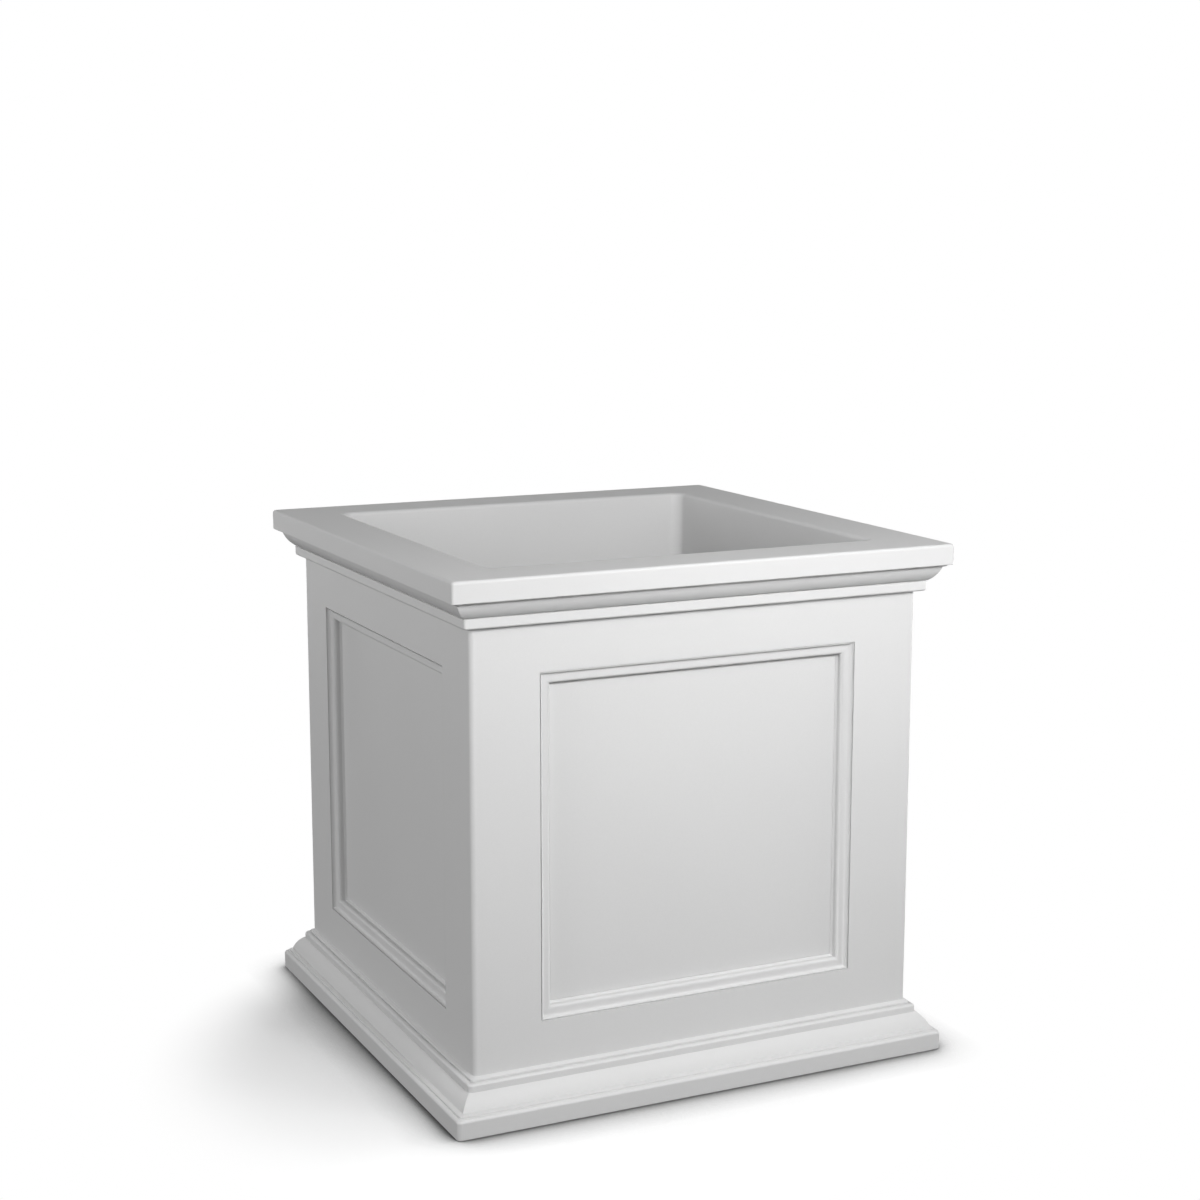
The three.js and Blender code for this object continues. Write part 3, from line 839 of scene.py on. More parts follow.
@dataclass
class CorniceFrame:
    """The ring under the rim: a band, an ovolo and a strip, with the tie plate inside.

    Attributes:
        strip: Height of the dark strip under the rim.
        shelf: Rise of the shelf between the ovolo and the strip.
        ovolo_bulge: How far the ovolo stands off its chord.
        groove: Depth and height of the groove over the band.
        band_round: Radius of the band's lower edge.
        band_edge: Radius of the band's upper edge.
        strip_edge: Radius of the strip's upper edge.
        wall: Wall thickness of the hollow mouldings.
        tie: Thickness of the tie plate.
        tub_gap: Gap between the tie plate and the tub.
        post_screw: Middle to a post's screw, along x and y.
    """

    shell: Shell
    tub: Tub
    strip: float = 1.3
    shelf: float = 1.2
    ovolo_bulge: float = 1.5
    groove: tuple[float, float] = (1.0, 1.0)
    band_round: float = 2.0
    band_edge: float = 0.3
    strip_edge: float = 0.6
    wall: float = 3.5
    tie: float = 4.0
    tub_gap: float = 1.5
    tie_corner: float = 14.0
    post_screw: float = 207.5
    screw_hole: float = 2.3

    @property
    def lip(self) -> float:
        """Level of the rim's lower edge, where the cornice starts."""
        return self.tub.levels[1] - self.tub.rim_drop

    @property
    def ovolo_foot(self) -> float:
        """Level of the ovolo's lower edge."""
        return self.lip - self.strip - self.shelf - self.shell.ovolo_rise

    def section(self) -> Profile:
        """The ring's closed section, tie plate and all."""
        shell = self.shell
        low, high = (corner.z for corner in span("cornice_frame"))
        lip = self.lip
        tie_in = shell.out - self.tub.rim_width + self.tub.wall + self.tub_gap
        shelf = (shell.out - shell.ovolo_inset, lip - self.strip - self.shelf)
        foot = (shell.band + shell.quirk, self.ovolo_foot)
        strip = shell.out - shell.strip_inset
        case_top = shell.case_levels[1]
        line = Profile(tie_in, case_top).line(
            (shell.skirt_in, case_top),
            (shell.skirt_in, low, 0.4),
            (shell.band, low, self.band_round),
            (shell.band, foot[1] - self.groove[1], self.band_edge),
            (shell.band - self.groove[0], foot[1] - self.groove[1] + 0.1),
            (shell.band - self.groove[0], foot[1] - 0.1),
            foot,
        )
        line.arc(*shelf, self.ovolo_bulge).line(
            (strip, lip - self.strip, 0.4),
            (strip, high, self.strip_edge),
            (strip - self.wall, high, 0.6),
            (strip - self.wall, lip + self.shelf),
            (shelf[0] - self.wall, lip),
            (shell.skirt_out, foot[1]),
            (shell.skirt_out, lip),
            (tie_in, lip),
        )
        return line.close()

    def shape(self) -> BMesh:
        """Spins the section, rounds the band's and the strip's corners and drills the tie."""
        shell = self.shell
        mesh = self.section().square_ring()
        strip_out = shell.out - shell.strip_inset - self.strip_edge - NEAR
        strip_low = self.lip - self.strip - 2 * NEAR
        band_in = shell.band - self.band_round - NEAR
        band_high = self.ovolo_foot - self.groove[1] - self.band_edge + NEAR
        round_corners(
            mesh, shell.crisp_corner,
            lambda u, z: band_in < u < shell.band + NEAR and z < band_high,
        )
        round_corners(mesh, shell.crisp_corner, lambda u, z: u > strip_out and z > strip_low)
        round_corners(mesh, self.tie_corner, lambda u, z: u < shell.wall_back)
        return carved(mesh, self.post_holes(shell.case_levels[1], self.tie))

    def post_holes(self, low: float, thickness: float) -> BMesh:
        """Cutters for the screw holes over the four posts."""
        hole = drill(self.screw_hole, low, low + thickness, flare=0.3, steps=16)
        return joined(
            moved(hole, Matrix.Translation(corner.at(self.post_screw))) for corner in Corner
        )

    def build(self) -> list[Piece]:
        """The cornice's one piece."""
        return [Piece("cornice_frame", Body.CASE, MOULDED_GREY, self.shape())]


@dataclass
class PlinthFrame:
    """The stepped base ring, with the ledge that carries the walls and floor.

    Attributes:
        face: Height of the base slab's upright face.
        face_round: Height of the quarter round over it.
        strip: Height of the strip over the slab.
        strip_edge: Radius of the strip's upper edge.
        shelf: Rise of the shelf under the ovolo.
        band: Height of the band over the ovolo.
        top_round: Width and height of the quarter round on the band.
        bead: How far the last step stands out from the wall.
        bead_rise: Height of that step.
        slope: Rise of the slope from the step to the wall.
        foot_width: Width of the foot that stands on the floor.
        foot_edge: Radius of the foot's outer edge.
        foot_hollow: Lower and upper levels of the hollow behind the foot.
        ledge: Lower and upper levels of the ledge.
        ledge_opening: Middle to the ledge's inner edge.
        ledge_corner: Radius of the ledge's corners.
    """

    shell: Shell
    cornice: CorniceFrame
    face: float = 15.5
    face_round: float = 3.4
    strip: float = 1.4
    strip_edge: float = 0.3
    shelf: float = 1.4
    band: float = 5.3
    top_round: tuple[float, float] = (4.0, 2.5)
    bead: float = 3.5
    bead_rise: float = 2.0
    slope: float = 1.8
    foot_width: float = 6.0
    foot_edge: float = 1.0
    foot_hollow: tuple[float, float] = (14.0, 24.0)
    ledge: tuple[float, float] = (6.0, 12.0)
    ledge_opening: float = 200.0
    ledge_corner: float = 14.0

    @cached_property
    def ovolo_foot(self) -> float:
        """Level of the ovolo's lower edge."""
        return self.face + self.face_round + self.strip + self.shelf

    @cached_property
    def band_top(self) -> float:
        """Level of the band's upper edge."""
        return self.ovolo_foot + self.shell.ovolo_rise + self.band

    def section(self) -> Profile:
        """The ring's closed section, ledge and all."""
        shell = self.shell
        strip = shell.out - shell.strip_inset
        foot_in = shell.out - self.foot_width
        ovolo_top = self.ovolo_foot + shell.ovolo_rise
        bead = shell.wall + self.bead
        bead_low = self.band_top + self.top_round[1]
        top = bead_low + self.bead_rise + self.slope
        line = Profile(self.ledge_opening, self.ledge[0]).line(
            (shell.skirt_in, self.ledge[0], 0.5),
            (shell.skirt_in, 0.0, 0.5),
            (shell.skirt_out, 0.0, 0.5),
            (shell.skirt_out, self.foot_hollow[1], 1.0),
            (shell.band + self.cornice.wall, self.foot_hollow[1], 1.0),
            (foot_in, self.foot_hollow[0], 1.0),
            (foot_in, 0.0, 0.6),
            (shell.out, 0.0, self.foot_edge),
            (shell.out, self.face),
        )
        line.quarter(strip, self.face + self.face_round).line(
            (strip, self.ovolo_foot - self.shelf, self.strip_edge),
            (shell.out - shell.ovolo_inset, self.ovolo_foot),
        )
        line.arc(shell.band + shell.quirk, ovolo_top, shell.ovolo_bulge).line(
            (shell.band, ovolo_top),
            (shell.band, self.band_top),
        )
        line.quarter(shell.band - self.top_round[0], bead_low).line(
            (bead, bead_low),
            (bead, bead_low + self.bead_rise, 0.5),
            (shell.skirt_in, top),
            (shell.skirt_in, self.ledge[1]),
            (self.ledge_opening, self.ledge[1]),
        )
        return line.close()

    def shape(self) -> BMesh:
        """Spins the section, rounds its upright corners and drills the ledge."""
        shell = self.shell
        mesh = self.section().square_ring()
        strip = shell.out - shell.strip_inset
        ovolo_top = self.ovolo_foot + shell.ovolo_rise
        round_corners(
            mesh, shell.corner,
            lambda u, z: u > strip - self.strip_edge - NEAR
            and z < self.ovolo_foot - self.shelf + NEAR
            or u > shell.out - self.foot_edge - NEAR and z < self.face,
        )
        round_corners(
            mesh, shell.corner,
            lambda u, z: shell.wall < u < shell.band + NEAR and z > ovolo_top - NEAR,
        )
        round_corners(mesh, self.ledge_corner, lambda u, z: u < self.ledge_opening + NEAR)
        return carved(mesh, self.cornice.post_holes(self.ledge[0], self.ledge[1] - self.ledge[0]))

    def build(self) -> list[Piece]:
        """The plinth's one piece."""
        return [Piece("plinth_frame", Body.CASE, MOULDED_GREY, self.shape())]


@dataclass
class Screws:
    """The pan-head screws, turned with a cross recess and a ridged shank.

    Attributes:
        shank: Radius over the thread.
        root: The shank's radius between its ridges, as a share of the thread's.
        tip: The point's radius, as a share of the root's.
        neck: Plain length under the head.
        ridge: Where in a pitch a ridge stands and ends, as shares of it.
        head: Radius of the head.
        head_height: Height of the head.
        recess: Length, width and depth of the cross.
        taper: Size of the cross at its floor, as a share of its mouth's.
        pitch: Ridge to ridge.
    """

    shank: float = 1.8
    root: float = 0.74
    tip: float = 0.35
    neck: float = 0.6
    ridge: tuple[float, float] = (0.45, 0.9)
    head: float = 4.0
    head_height: float = 2.5
    recess: tuple[float, float, float] = (3.6, 0.8, 1.3)
    taper: float = 0.6
    pitch: float = 1.3

    def shape(self, length: float) -> BMesh:
        """A screw about Z, with its head's underside at the origin.

        Args:
            length: How far the shank reaches down.

        Returns:
            The screw's mesh.
        """
        root = self.shank * self.root
        line = Profile(0.0, -length).line((root * self.tip, -length))
        level = -length + 2 * self.shank
        line.line((root, level))
        stands, ends = self.ridge
        while level + self.pitch < -self.neck:
            line.line((self.shank, level + self.pitch * stands), (root, level + self.pitch * ends))
            level += self.pitch
        line.line(
            (root, 0.0), (self.head, 0.0, 0.3), (self.head, self.head_height, 1.6),
            (0.0, self.head_height),
        )
        body = line.turned(28)
        long, wide, deep = self.recess
        floor = self.head_height - deep
        arms = [
            block((-a / 2, -b / 2, floor), (a / 2, b / 2, self.head_height + PAST))
            for a, b in ((long, wide), (wide, long))
        ]
        for arm in arms:
            bottom = [v for v in arm.verts if v.co.z < floor + 0.1]
            bmesh.ops.scale(arm, vec=(self.taper, self.taper, 1.0), verts=bottom)
            body = carved(body, arm)
        return body

    def piece(self, node: str, shape: BMesh, place: Matrix) -> Piece:
        """One screw, moved to its place."""
        return Piece(node, Body.CASE, ZINC, moved(shape, place))


@dataclass
class Walls:
    """The four recessed panels, the posts behind their corners and the screws that hold them.

    Attributes:
        mitre_gap: How far a panel's end stays back from its neighbour's.
        stile: Corner to the recess.
        recess_levels: Lower and upper edges of the recess.
        outer_groove: Width and depth of the groove round the recess.
        step: Depth at which the cove starts.
        cove: Width, depth and hollow of the cove.
        fillet: Width of the flat after the cove.
        round_edge: Width and depth of the rounded edge.
        riser: Depth of the upright face under it.
        quirk: Width and depth of the slope to the field.
        inner_groove: Width, and depth below the field, of the groove beside it.
        pocket: Width of a pocket in the back, rib between two, and thickness left in front.
        post_leg: Width of a post's leg.
        post_thickness: Thickness of a post's leg.
        post_block: Width and height of a post's screw blocks.
        screw_hole: Radius of the screw holes.
        screw_bite: Depth of the blind holes in the panels.
        screw_from_end: Panel's end to a screw.
        screw_from_leg_end: Leg's end to a screw.
    """

    shell: Shell
    screws: Screws
    mitre_gap: float = 0.02
    stile: float = 66.0
    recess_levels: tuple[float, float] = (87.5, 409.2)
    outer_groove: tuple[float, float] = (1.3, 1.8)
    step: float = 0.5
    cove: tuple[float, float, float] = (6.0, 4.1, 1.15)
    fillet: float = 2.0
    round_edge: tuple[float, float] = (3.8, 3.6)
    riser: float = 2.6
    quirk: tuple[float, float] = (2.7, 1.6)
    inner_groove: tuple[float, float] = (1.9, 0.9)
    pocket: tuple[float, float, float] = (42.0, 5.0, 4.5)
    post_leg: float = 30.0
    post_thickness: float = 3.0
    post_block: tuple[float, float] = (13.0, 20.0)
    screw_hole: float = 2.3
    screw_bite: float = 9.0
    screw_from_end: float = 60.0
    screw_from_leg_end: float = 12.0

    def moulding(self) -> list[Point]:
        """The recess's moulding from the face in, as [inwards, deep] points."""
        width, depth, hollow = self.cove
        foot = width + self.fillet + self.round_edge[0]
        deep = depth + self.round_edge[1] + self.riser
        wide, sunk = self.outer_groove
        flat = 0.6
        line = Profile(-flat, 0.0).line(
            (0.0, 0.0, 0.2), (0.05, sunk), (wide - 0.1, sunk), (wide, self.step)
        )
        line.arc(width, depth, -hollow, steps=6)
        field = deep + self.quirk[1]
        run, below = self.inner_groove
        line.line(
            (foot, depth, self.round_edge[1]),
            (foot, deep, 0.3),
            (foot + run, field + below, 0.2),
            (foot + self.quirk[0], field, 0.2),
            (foot + self.quirk[0] + flat, field),
        )
        return line.walk()

    def panel(self) -> BMesh:
        """The front panel: a mitred slab with the sunk field in front and pockets behind."""
        shell = self.shell
        low, high = shell.case_levels
        wall, back, r = shell.wall, shell.wall_back, shell.corner
        slant = r * (1 - math.sqrt(0.5))
        sagitta = r * (1 - math.cos(math.pi / 8))
        plan = Profile(-back, -back).line((-wall + slant, -wall + slant))
        plan.arc(-wall + r, -wall, sagitta).line((wall - r, -wall))
        plan.arc(wall - slant, -wall + slant, sagitta).line((back, -back))
        mesh = plan.close().prism(low, high)
        bmesh.ops.scale(mesh, vec=(1 - self.mitre_gap / wall, 1.0, 1.0), verts=mesh.verts)
        self._sink(mesh)
        return carved(mesh, joined([*self._pockets(), *self._panel_holes()]))

    def _sink(self, mesh: BMesh) -> None:
        """Insets the front face down the moulding's points to the sunk field."""
        line = self.moulding()
        start = line[0][0]
        half = self.shell.wall - self.stile - start
        face = max(mesh.faces, key=lambda f: -f.normal.y * f.calc_area())
        # Any inset will do first, because its corners are placed next.
        bmesh.ops.inset_region(
            mesh, faces=[face], thickness=20.0, use_even_offset=True, use_boundary=True
        )
        low, high = self.recess_levels
        for vertex in face.verts:
            vertex.co.x = math.copysign(half, vertex.co.x)
            vertex.co.z = high - start if vertex.co.z > (low + high) / 2 else low + start
        for (inner, shallow), (outer, deeper) in zip(line, line[1:]):
            bmesh.ops.inset_region(
                mesh, faces=[face], thickness=max(outer - inner, 0.0), depth=shallow - deeper,
                use_even_offset=True, use_boundary=True,
            )

    def _pockets(self) -> list[BMesh]:
        """Cutters for the pockets behind the two rails."""
        shell = self.shell
        width, rib, face = self.pocket
        case_low, case_high = shell.case_levels
        pitch = width + rib
        count = int(2 * (shell.wall - self.stile) // pitch)
        rails = (
            (case_low + rib, self.recess_levels[0] - rib),
            (self.recess_levels[1] + rib, case_high - rib),
        )
        return [
            block(
                ((i - (count - 1) / 2) * pitch - width / 2, -shell.wall + face, low),
                ((i - (count - 1) / 2) * pitch + width / 2, -shell.wall_back + PAST, high),
            )
            for low, high in rails
            for i in range(count)
        ]

    def screw_places(self) -> list[Point]:
        """The panel screws' places, as x along the front panel and level."""
        x = self.shell.wall_back - self.post_leg + self.screw_from_leg_end
        low, high = self.shell.case_levels
        levels = (low + self.screw_from_end, high - self.screw_from_end)
        return [(side * x, level) for level in levels for side in (-1, 1)]

    def _panel_holes(self) -> list[BMesh]:
        """Cutters for the blind screw holes in the front panel's back."""
        back = self.shell.wall_back
        hole = Profile(0.0, -3.0).line(
            (self.screw_hole, -3.0), (self.screw_hole, self.screw_bite), (0.0, self.screw_bite + 1)
        ).turned(16)
        return [
            moved(hole, Matrix.Translation((x, -back, z)) @ Matrix.Rotation(math.pi / 2, 4, "X"))
            for x, z in self.screw_places()
        ]

    def post(self) -> BMesh:
        """The front left corner post: an angle with a screw block at each end."""
        back, leg, thin = self.shell.wall_back, self.post_leg, self.post_thickness
        low, high = self.shell.case_levels
        size, tall = self.post_block
        angle = Profile(-back, -back).line(
            (-back + leg, -back, 0.8), (-back + leg, -back + thin, 0.8),
            (-back + thin, -back + thin, 2.0),
            (-back + thin, -back + leg, 0.8), (-back, -back + leg, 0.8),
        ).close().prism(low, high)
        for foot, head in ((low, low + tall), (high - tall, high)):
            cube = block((-back, -back, foot), (-back + size, -back + size, head))
            angle = carved(angle, cube, Boolean.JOIN)
        bore = drill(self.screw_hole, low, high, flare=0.4, steps=16)
        middle = -back + size / 2
        cuts = [moved(bore, Matrix.Translation((middle, middle, 0.0)))]
        hole = drill(self.screw_hole, -thin - PAST, PAST, flare=0.0, steps=16)
        for x, z in self.screw_places():
            if x < 0:
                front = Matrix.Translation((x, -back, z)) @ Matrix.Rotation(math.pi / 2, 4, "X")
                side = Matrix.Translation((-back, x, z)) @ Matrix.Rotation(-math.pi / 2, 4, "Y")
                cuts += [moved(hole, front), moved(hole, side)]
        return carved(angle, joined(cuts))

    def build(self) -> list[Piece]:
        """The panels, posts and panel screws of all four sides."""
        panel, post = self.panel(), self.post()
        screw = self.screws.shape(self.post_thickness + self.screw_bite)
        pieces = []
        for side in Side:
            pieces.append(
                Piece(f"side_panel_{side.label}", Body.CASE, MOULDED_GREY, moved(panel, side.turn))
            )
            for number, (x, z) in enumerate(self.screw_places(), 1):
                seat = Matrix.Translation((x, -self.shell.wall_back + self.post_thickness, z))
                place = side.turn @ seat @ Matrix.Rotation(-math.pi / 2, 4, "X")
                pieces.append(self.screws.piece(f"panel_screw_{side.label}_{number}", screw, place))
        for corner in Corner:
            pieces.append(
                Piece(
                    f"corner_post_{corner.label}", Body.CASE, DARK_REGRIND,
                    moved(post, corner.turn), edge=0.3,
                )
            )
        return pieces


@dataclass
class CaseFloor:
    """The slotted floor on the plinth's ledge, and the screws that tie the frames to the posts.

    Attributes:
        clearance: Gap to the posts.
        slot: Length and width of a slot.
        slot_end: Radius of its ends, as a share of half its width.
        pitch: Slot to slot, along x and y.
        rows: Number of slots along x and y, before the drain takes its own.
        drain_radius: Radius of the drain hole.
        bite: How far the frame screws reach into the posts.
    """

    shell: Shell
    cornice: CorniceFrame
    plinth: PlinthFrame
    walls: Walls
    screws: Screws
    clearance: float = 0.3
    slot: tuple[float, float] = (74.0, 8.0)
    slot_end: float = 0.96
    pitch: tuple[float, float] = (88.0, 38.0)
    rows: tuple[int, int] = (4, 9)
    drain_radius: float = 24.0
    bite: float = 12.0

    def shape(self) -> BMesh:
        """Raises the floor's plan and cuts its slots and drain."""
        low, high = (corner.z for corner in span("case_floor"))
        half = self.shell.wall_back - self.walls.post_thickness - self.clearance
        notch = self.shell.wall_back - self.walls.post_block[0] - self.clearance
        plan = Profile(-notch, -half).line(
            (notch, -half, 1.0), (notch, -notch, 2.0), (half, -notch, 1.0), (half, notch, 1.0),
            (notch, notch, 2.0), (notch, half, 1.0), (-notch, half, 1.0), (-notch, notch, 2.0),
            (-half, notch, 1.0), (-half, -notch, 1.0), (-notch, -notch, 2.0),
        )
        plate = plan.close().prism(low, high)
        drain = drill(self.drain_radius, low, high, flare=0.8, steps=48)
        return carved(plate, joined([drain, *self._slots(low, high)]))

    def _slots(self, low: float, high: float) -> list[BMesh]:
        """Cutters for the slots that stay clear of the drain."""
        half_length, half_width = self.slot[0] / 2, self.slot[1] / 2
        columns, rows = self.rows
        cutters = []
        for column in range(columns):
            for row in range(rows):
                x = (column - (columns - 1) / 2) * self.pitch[0]
                y = (row - (rows - 1) / 2) * self.pitch[1]
                nearest = math.hypot(max(abs(x) - half_length, 0), max(abs(y) - half_width, 0))
                if nearest >= self.drain_radius + self.slot[1]:
                    cutters.append(
                        block(
                            (x - half_length, y - half_width, low - PAST),
                            (x + half_length, y + half_width, high + PAST),
                            upright=half_width * self.slot_end,
                        )
                    )
        return cutters

    def build(self) -> list[Piece]:
        """The floor and the eight frame screws."""
        pieces = [Piece("case_floor", Body.CASE, DARK_REGRIND, self.shape(), edge=0.4)]
        tie = self.screws.shape(self.cornice.tie + self.bite)
        ledge = self.plinth.ledge
        foot = self.screws.shape(ledge[1] - ledge[0] + self.bite)
        top = self.shell.case_levels[1] + self.cornice.tie
        over = Matrix.Rotation(math.pi, 4, "X")
        for corner in Corner:
            above = Matrix.Translation(corner.at(self.cornice.post_screw, top))
            below = Matrix.Translation(corner.at(self.cornice.post_screw, ledge[0]))
            pieces.append(self.screws.piece(f"cornice_screw_{corner.label}", tie, above))
            pieces.append(self.screws.piece(f"plinth_screw_{corner.label}", foot, below @ over))
        return pieces


@dataclass
class Reservoir:
    """The perforated platform over the water, and the wick cups that carry it.

    Attributes:
        corner: Radius of the platform's corners.
        cup_offset: Middle to a cup, along x and y.
        cup_hole: Radius of the platform's holes for the cups.
        hole_radius: Radius of the small holes.
        hole_pitch: Hole to hole.
        hole_margin: Platform's edge to the holes.
        flange: Radius of a cup's flange.
        foot: Radius of a cup's foot.
        top: Radius of a cup under its flange.
        rim: Radius of the rim that stands in the platform.
        flange_height: Thickness of the flange.
        cup_wall: Thickness of a cup's wall.
        slot: Width of a cup's slots, foot to slot, and platform to slot.
    """

    corner: float = 12.0
    cup_offset: float = 100.0
    cup_hole: float = 29.2
    hole_radius: float = 4.0
    hole_pitch: float = 45.0
    hole_margin: float = 20.0
    flange: float = 36.0
    foot: float = 26.0
    top: float = 30.0
    rim: float = 28.7
    flange_height: float = 3.0
    cup_wall: float = 2.5
    slot: tuple[float, float, float] = (6.0, 6.0, 14.0)

    def platform(self) -> BMesh:
        """A rounded square plate, drilled for water and for the cups."""
        low, high = (corner.z for corner in span("soil_platform"))
        half = span("soil_platform")[1].x
        section = Profile(0.0, low).line((half, low, 0.8), (half, high, 1.2), (0.0, high))
        plate = section.square_ring()
        round_corners(plate, self.corner, lambda u, z: u > half - 1.3)
        small = drill(self.hole_radius, low, high, flare=0.6, steps=20)
        large = drill(self.cup_hole, low, high, flare=0.5, steps=64)
        cups = [corner.at(self.cup_offset) for corner in Corner]
        cuts = [moved(large, Matrix.Translation(place)) for place in cups]
        across = int(2 * (half - self.hole_margin) // self.hole_pitch)
        clear = self.flange + self.hole_radius + 1
        for column in range(across + 1):
            for row in range(across + 1):
                place = Vector((column - across / 2, row - across / 2, 0.0)) * self.hole_pitch
                if all((place - cup).length > clear for cup in cups):
                    cuts.append(moved(small, Matrix.Translation(place)))
        return carved(plate, joined(cuts))

    def cup(self) -> BMesh:
        """A wick cup about Z on its own foot, slotted to let the water in."""
        low, high = (corner.z for corner in span("wick_cup_front_left"))
        low += SEATED
        under = span("soil_platform")[0].z
        line = Profile(0.0, low).line(
            (self.foot, low, 1.0),
            (self.top, under - self.flange_height, 0.8),
            (self.flange, under - self.flange_height, 0.6),
            (self.flange, under, 0.6),
            (self.rim, under, 0.4),
            (self.rim, high, 0.6),
            (self.rim - self.cup_wall, high, 0.6),
            (self.foot - self.cup_wall, low + self.cup_wall, 2.0),
            (0.0, low + self.cup_wall),
        )
        cup = line.turned(72)
        width, bottom, top = self.slot
        for size in ((self.flange, width / 2), (width / 2, self.flange)):
            cutter = block(
                (-size[0], -size[1], low + bottom), (size[0], size[1], under - top)
            )
            cup = carved(cup, cutter)
        return cup

    def build(self) -> list[Piece]:
        """The platform and its four cups."""
        cup = self.cup()
        pieces = [Piece("soil_platform", Body.PLATFORM, INNER_GREY, self.platform())]
        for corner in Corner:
            place = Matrix.Translation(corner.at(self.cup_offset))
            pieces.append(
                Piece(f"wick_cup_{corner.label}", Body.PLATFORM, INNER_GREY, moved(cup, place))
            )
        return pieces


@dataclass
class Drain:
    """The bung in the tub's floor with its grip, and the washer under its flange.

    Attributes:
        flange: Radius of the flange and the washer.
        stem: Radius of the stem.
        chamfer: Rounding of the stem's end.
        flange_height: Thickness of the flange.
        grip: Length and width of the grip.
        seal_gap: Gap between the stem and the washer.
    """

    flange: float = 16.0
    stem: float = 8.4
    chamfer: float = 1.0
    flange_height: float = 4.0
    grip: tuple[float, float] = (20.0, 6.0)
    seal_gap: float = 0.3

    def bung(self) -> BMesh:
        """Turns the bung and joins its upright grip on."""
        low, high = (corner.z for corner in span("drain_bung"))
        seat = span("bung_seal")[1].z
        top = seat + self.flange_height
        line = Profile(0.0, low).line(
            (self.stem, low, self.chamfer), (self.stem, seat, 0.3), (self.flange, seat, 0.5),
            (self.flange, top, 1.4), (0.0, top),
        )
        long, wide = self.grip
        grip = block((-long / 2, -wide / 2, top - 1), (long / 2, wide / 2, high), upright=1.8)
        rim = [e for e in grip.edges if all(v.co.z > high - 0.01 for v in e.verts)]
        bmesh.ops.bevel(
            grip, geom=rim, offset=1.2, offset_type="OFFSET", segments=4, profile=0.5,
            affect="EDGES", material=-1,
        )
        return carved(line.turned(56), grip, Boolean.JOIN)

    def seal(self) -> BMesh:
        """Turns the flat washer."""
        low, high = (corner.z for corner in span("bung_seal"))
        low += SEATED
        bore = self.stem + self.seal_gap
        line = Profile(bore, low).line((self.flange, low, 0.4), (self.flange, high, 0.4))
        return line.line((bore, high)).close().turned(56)

    def build(self) -> list[Piece]:
        """The bung and its washer."""
        return [
            Piece("drain_bung", Body.BUNG, DARK_REGRIND, self.bung()),
            Piece("bung_seal", Body.BUNG, RUBBER, self.seal()),
        ]


# The studio.


@dataclass(frozen=True)
class Softbox:
    """A rectangular area light that faces the planter.

    Attributes:
        name: The light's name.
        azimuth: Degrees round from the front, towards the right.
        elevation: Degrees above the floor.
        distance: Metres from the planter's middle.
        size: Width in metres.
        power: Watts.
        tall: Height in metres, or zero for a square.
    """

    name: str
    azimuth: float
    elevation: float
    distance: float
    size: float
    power: float
    tall: float = 0.0

    def hang(self) -> bpy.types.Object:
        """Makes the light and turns it to the planter."""
        data = bpy.data.lights.new(self.name, "AREA")
        data.shape = "RECTANGLE"
        data.size = self.size
        data.size_y = self.tall or self.size
        data.energy = self.power
        light = bpy.data.objects.new(self.name, data)
        turn, rise = math.radians(self.azimuth), math.radians(self.elevation)
        away = Vector(
            (math.sin(turn) * math.cos(rise), -math.cos(turn) * math.cos(rise), math.sin(rise))
        )
        light.location = MIDDLE + away * self.distance
        light.rotation_euler = away.to_track_quat("Z", "Y").to_euler()
        bpy.context.scene.collection.objects.link(light)
        return light


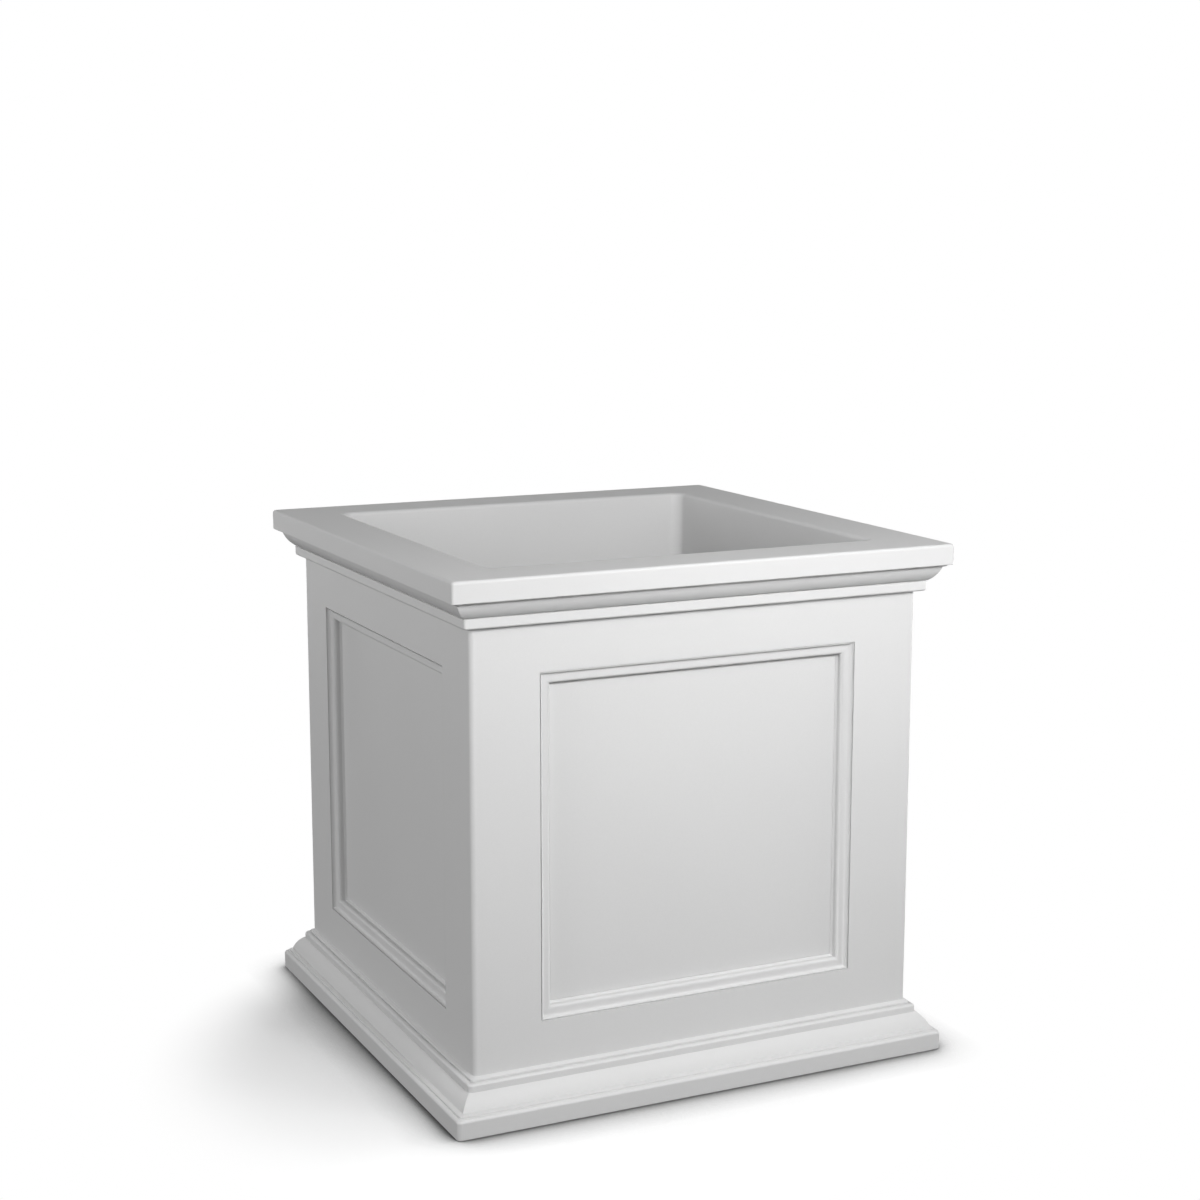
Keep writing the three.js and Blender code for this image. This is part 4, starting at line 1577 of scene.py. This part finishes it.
@dataclass
class Studio:
    """The pale floor, the soft lights and the camera at the photograph's angle.

    Attributes:
        horizon: Strength of the surroundings at the horizon.
        overhead: Strength of the surroundings overhead.
        floor_half: Half the floor's side in metres.
        floor_bounce: How much light the floor gives back to the planter.
        floor_lift: How much brighter than that light the camera sees the floor.
        shade_middle: Middle of the planter's shadow in metres.
        floor_fade: Distances from it, in metres, between which the floor turns pure white.
        contacts: Reach and darkness of each painted shade, from ambient occlusion in the floor's
            colour, at the planter's foot.
        lens: Focal length in millimetres.
        place: The camera's place in metres.
        right: The direction to the right of the picture.
        up: The direction up the picture.
        lights: The lights.
    """

    horizon: float = 0.44
    overhead: float = 0.0
    floor_half: float = 40.0
    floor_bounce: float = 0.06
    floor_lift: float = 1.3
    shade_middle: tuple[float, float] = (-0.10, -0.10)
    floor_fade: tuple[float, float] = (0.27, 0.40)
    contacts: tuple[tuple[float, float], ...] = ((0.045, 0.14), (0.3, 0.6))
    lens: float = 64.99
    place: tuple[float, float, float] = (-0.91504, -1.92702, 0.80201)
    right: tuple[float, float, float] = (0.90235, -0.43101, 0.00027)
    up: tuple[float, float, float] = (0.07477, 0.15714, 0.98474)
    lights: tuple[Softbox, ...] = field(
        default_factory=lambda: (
            Softbox("key", azimuth=0, elevation=27, distance=1.6, size=0.4, power=14.0),
            Softbox("near_key", azimuth=0, elevation=30, distance=1.0, size=0.3, power=1.0),
            Softbox("right_key", azimuth=25, elevation=30, distance=1.0, size=0.3, power=1.2),
            Softbox("left_fill", azimuth=-75, elevation=15, distance=2.4, size=0.9, power=15.3),
            Softbox(
                "back_left_fill", azimuth=-120, elevation=8, distance=2.4, size=1.4, power=10.0
            ),
            Softbox(
                "right_panel", azimuth=80, elevation=0, distance=1.9, size=1.8, power=13.0,
                tall=0.44,
            ),
            Softbox(
                "back_panel", azimuth=172, elevation=0, distance=1.9, size=1.8, power=9.0,
                tall=0.44,
            ),
        )
    )

    def camera(self) -> None:
        """Stands the camera where the photograph was taken from."""
        data = bpy.data.cameras.new("camera")
        data.lens = self.lens
        data.sensor_width = 36.0
        right, up = Vector(self.right), Vector(self.up)
        turn = Matrix((right, up, right.cross(up))).transposed().to_4x4()
        camera = bpy.data.objects.new("camera", data)
        camera.matrix_world = Matrix.Translation(self.place) @ turn
        bpy.context.scene.collection.objects.link(camera)
        bpy.context.scene.camera = camera

    def floor(self) -> None:
        """Lays the pale floor, which reads white away from the planter's shadow."""
        mesh = bmesh.new()
        bmesh.ops.create_grid(mesh, x_segments=8, y_segments=8, size=self.floor_half)
        data = bpy.data.meshes.new("studio_floor")
        mesh.to_mesh(data)
        mesh.free()
        data.materials.append(self.floor_paint())
        floor = bpy.data.objects.new("studio_floor", data)
        bpy.context.scene.collection.objects.link(floor)

    def floor_paint(self) -> bpy.types.Material:
        """White paint that keeps the lamps' shadow, adds painted shade at the planter's foot, and
        fades to plain glowing white far off, which still carries the narrow painted shade.
        """
        material = bpy.data.materials.new("studio_white")
        tree = Tree(material)
        path = tree.add("ShaderNodeLightPath")
        plain = tree.add("ShaderNodeBsdfDiffuse")
        plain.inputs["Color"].default_value = (*(self.floor_bounce,) * 3, 1.0)
        seen = tree.add("ShaderNodeBsdfDiffuse")
        white = tree.add("ShaderNodeEmission")
        # Painted shade: ambient occlusion darkens the floor's colour at the foot, both on the lit
        # paint and on the far glowing white.
        near, wide = (self.painted_contact_shade(tree, reach, dark) for reach, dark in self.contacts)
        tree.links.new(near, white.inputs["Color"])
        lift = tree.add("ShaderNodeMath", operation="MULTIPLY")
        lift.inputs[1].default_value = self.floor_lift
        tree.links.new(tree.multiplied(near, wide), lift.inputs[0])
        tree.links.new(lift.outputs[0], seen.inputs["Color"])
        length = tree.add("ShaderNodeVectorMath", operation="DISTANCE")
        length.inputs[1].default_value = (*self.shade_middle, 0.0)
        tree.links.new(tree.coordinates.outputs["Object"], length.inputs[0])
        fade = tree.add("ShaderNodeMapRange", interpolation_type="SMOOTHSTEP")
        for end, distance in zip(("From Min", "From Max"), self.floor_fade):
            fade.inputs[end].default_value = distance
        tree.links.new(length.outputs["Value"], fade.inputs["Value"])
        far = tree.mixed(
            fade.outputs["Result"], seen.outputs["BSDF"], white.outputs["Emission"]
        )
        paint = tree.mixed(path.outputs["Is Camera Ray"], plain.outputs["BSDF"], far)
        tree.links.new(paint, tree.output.inputs["Surface"])
        return material

    def painted_contact_shade(self, tree: Tree, reach: float, dark: float) -> bpy.types.NodeSocket:
        """Paints shade into the floor's colour close to the planter's foot, from ambient occlusion.

        Args:
            tree: The floor paint's nodes.
            reach: How far from the foot the shade goes, in metres.
            dark: Share of the light that is left at the foot.

        Returns:
            The socket that carries the share of the light.
        """
        nook = tree.add("ShaderNodeAmbientOcclusion", samples=8)
        nook.inputs["Distance"].default_value = reach
        shade = tree.add("ShaderNodeMapRange")
        shade.inputs["From Min"].default_value = 0.5
        shade.inputs["To Min"].default_value = dark
        tree.links.new(nook.outputs["AO"], shade.inputs["Value"])
        return shade.outputs["Result"]

    def world(self) -> None:
        """Surrounds the planter with soft light, seen as plain white."""
        world = bpy.data.worlds.new("studio")
        tree = Tree(world, "ShaderNodeOutputWorld")
        path = tree.add("ShaderNodeLightPath")
        seen = path.outputs["Is Camera Ray"]
        for ray in ("Is Glossy Ray", "Is Transmission Ray"):
            either = tree.add("ShaderNodeMath", operation="MAXIMUM")
            tree.links.new(seen, either.inputs[0])
            tree.links.new(path.outputs[ray], either.inputs[1])
            seen = either.outputs[0]
        height = tree.add("ShaderNodeSeparateXYZ")
        tree.links.new(tree.coordinates.outputs["Generated"], height.inputs["Vector"])
        dome = tree.add("ShaderNodeMapRange")
        dome.inputs["To Min"].default_value = self.horizon
        dome.inputs["To Max"].default_value = self.overhead
        tree.links.new(height.outputs["Z"], dome.inputs["Value"])
        soft, white = (tree.add("ShaderNodeBackground") for _ in range(2))
        for background in (soft, white):
            background.inputs["Color"].default_value = WHITE
        tree.links.new(dome.outputs["Result"], soft.inputs["Strength"])
        light = tree.mixed(seen, soft.outputs["Background"], white.outputs["Background"])
        tree.links.new(light, tree.output.inputs["Surface"])
        bpy.context.scene.world = world

    def build(self) -> None:
        """Sets up the camera, floor, world and lights."""
        bpy.context.scene.view_settings.view_transform = "Standard"
        self.camera()
        self.floor()
        self.world()
        for softbox in self.lights:
            softbox.hang()


def main() -> None:
    """Builds the planter's sub-assemblies in order, then the studio."""
    logging.basicConfig(level=logging.INFO, format="%(name)s: %(message)s")
    shell, screws = Shell(), Screws()
    tub = Tub(shell)
    cornice = CorniceFrame(shell, tub)
    plinth = PlinthFrame(shell, cornice)
    walls = Walls(shell, screws)
    assemblies = (
        plinth, walls, cornice, CaseFloor(shell, cornice, plinth, walls, screws),
        tub, Reservoir(), Drain(),
    )
    for assembly in assemblies:
        for piece in assembly.build():
            piece.place()
    Studio().build()


if __name__ == "__main__":
    main()
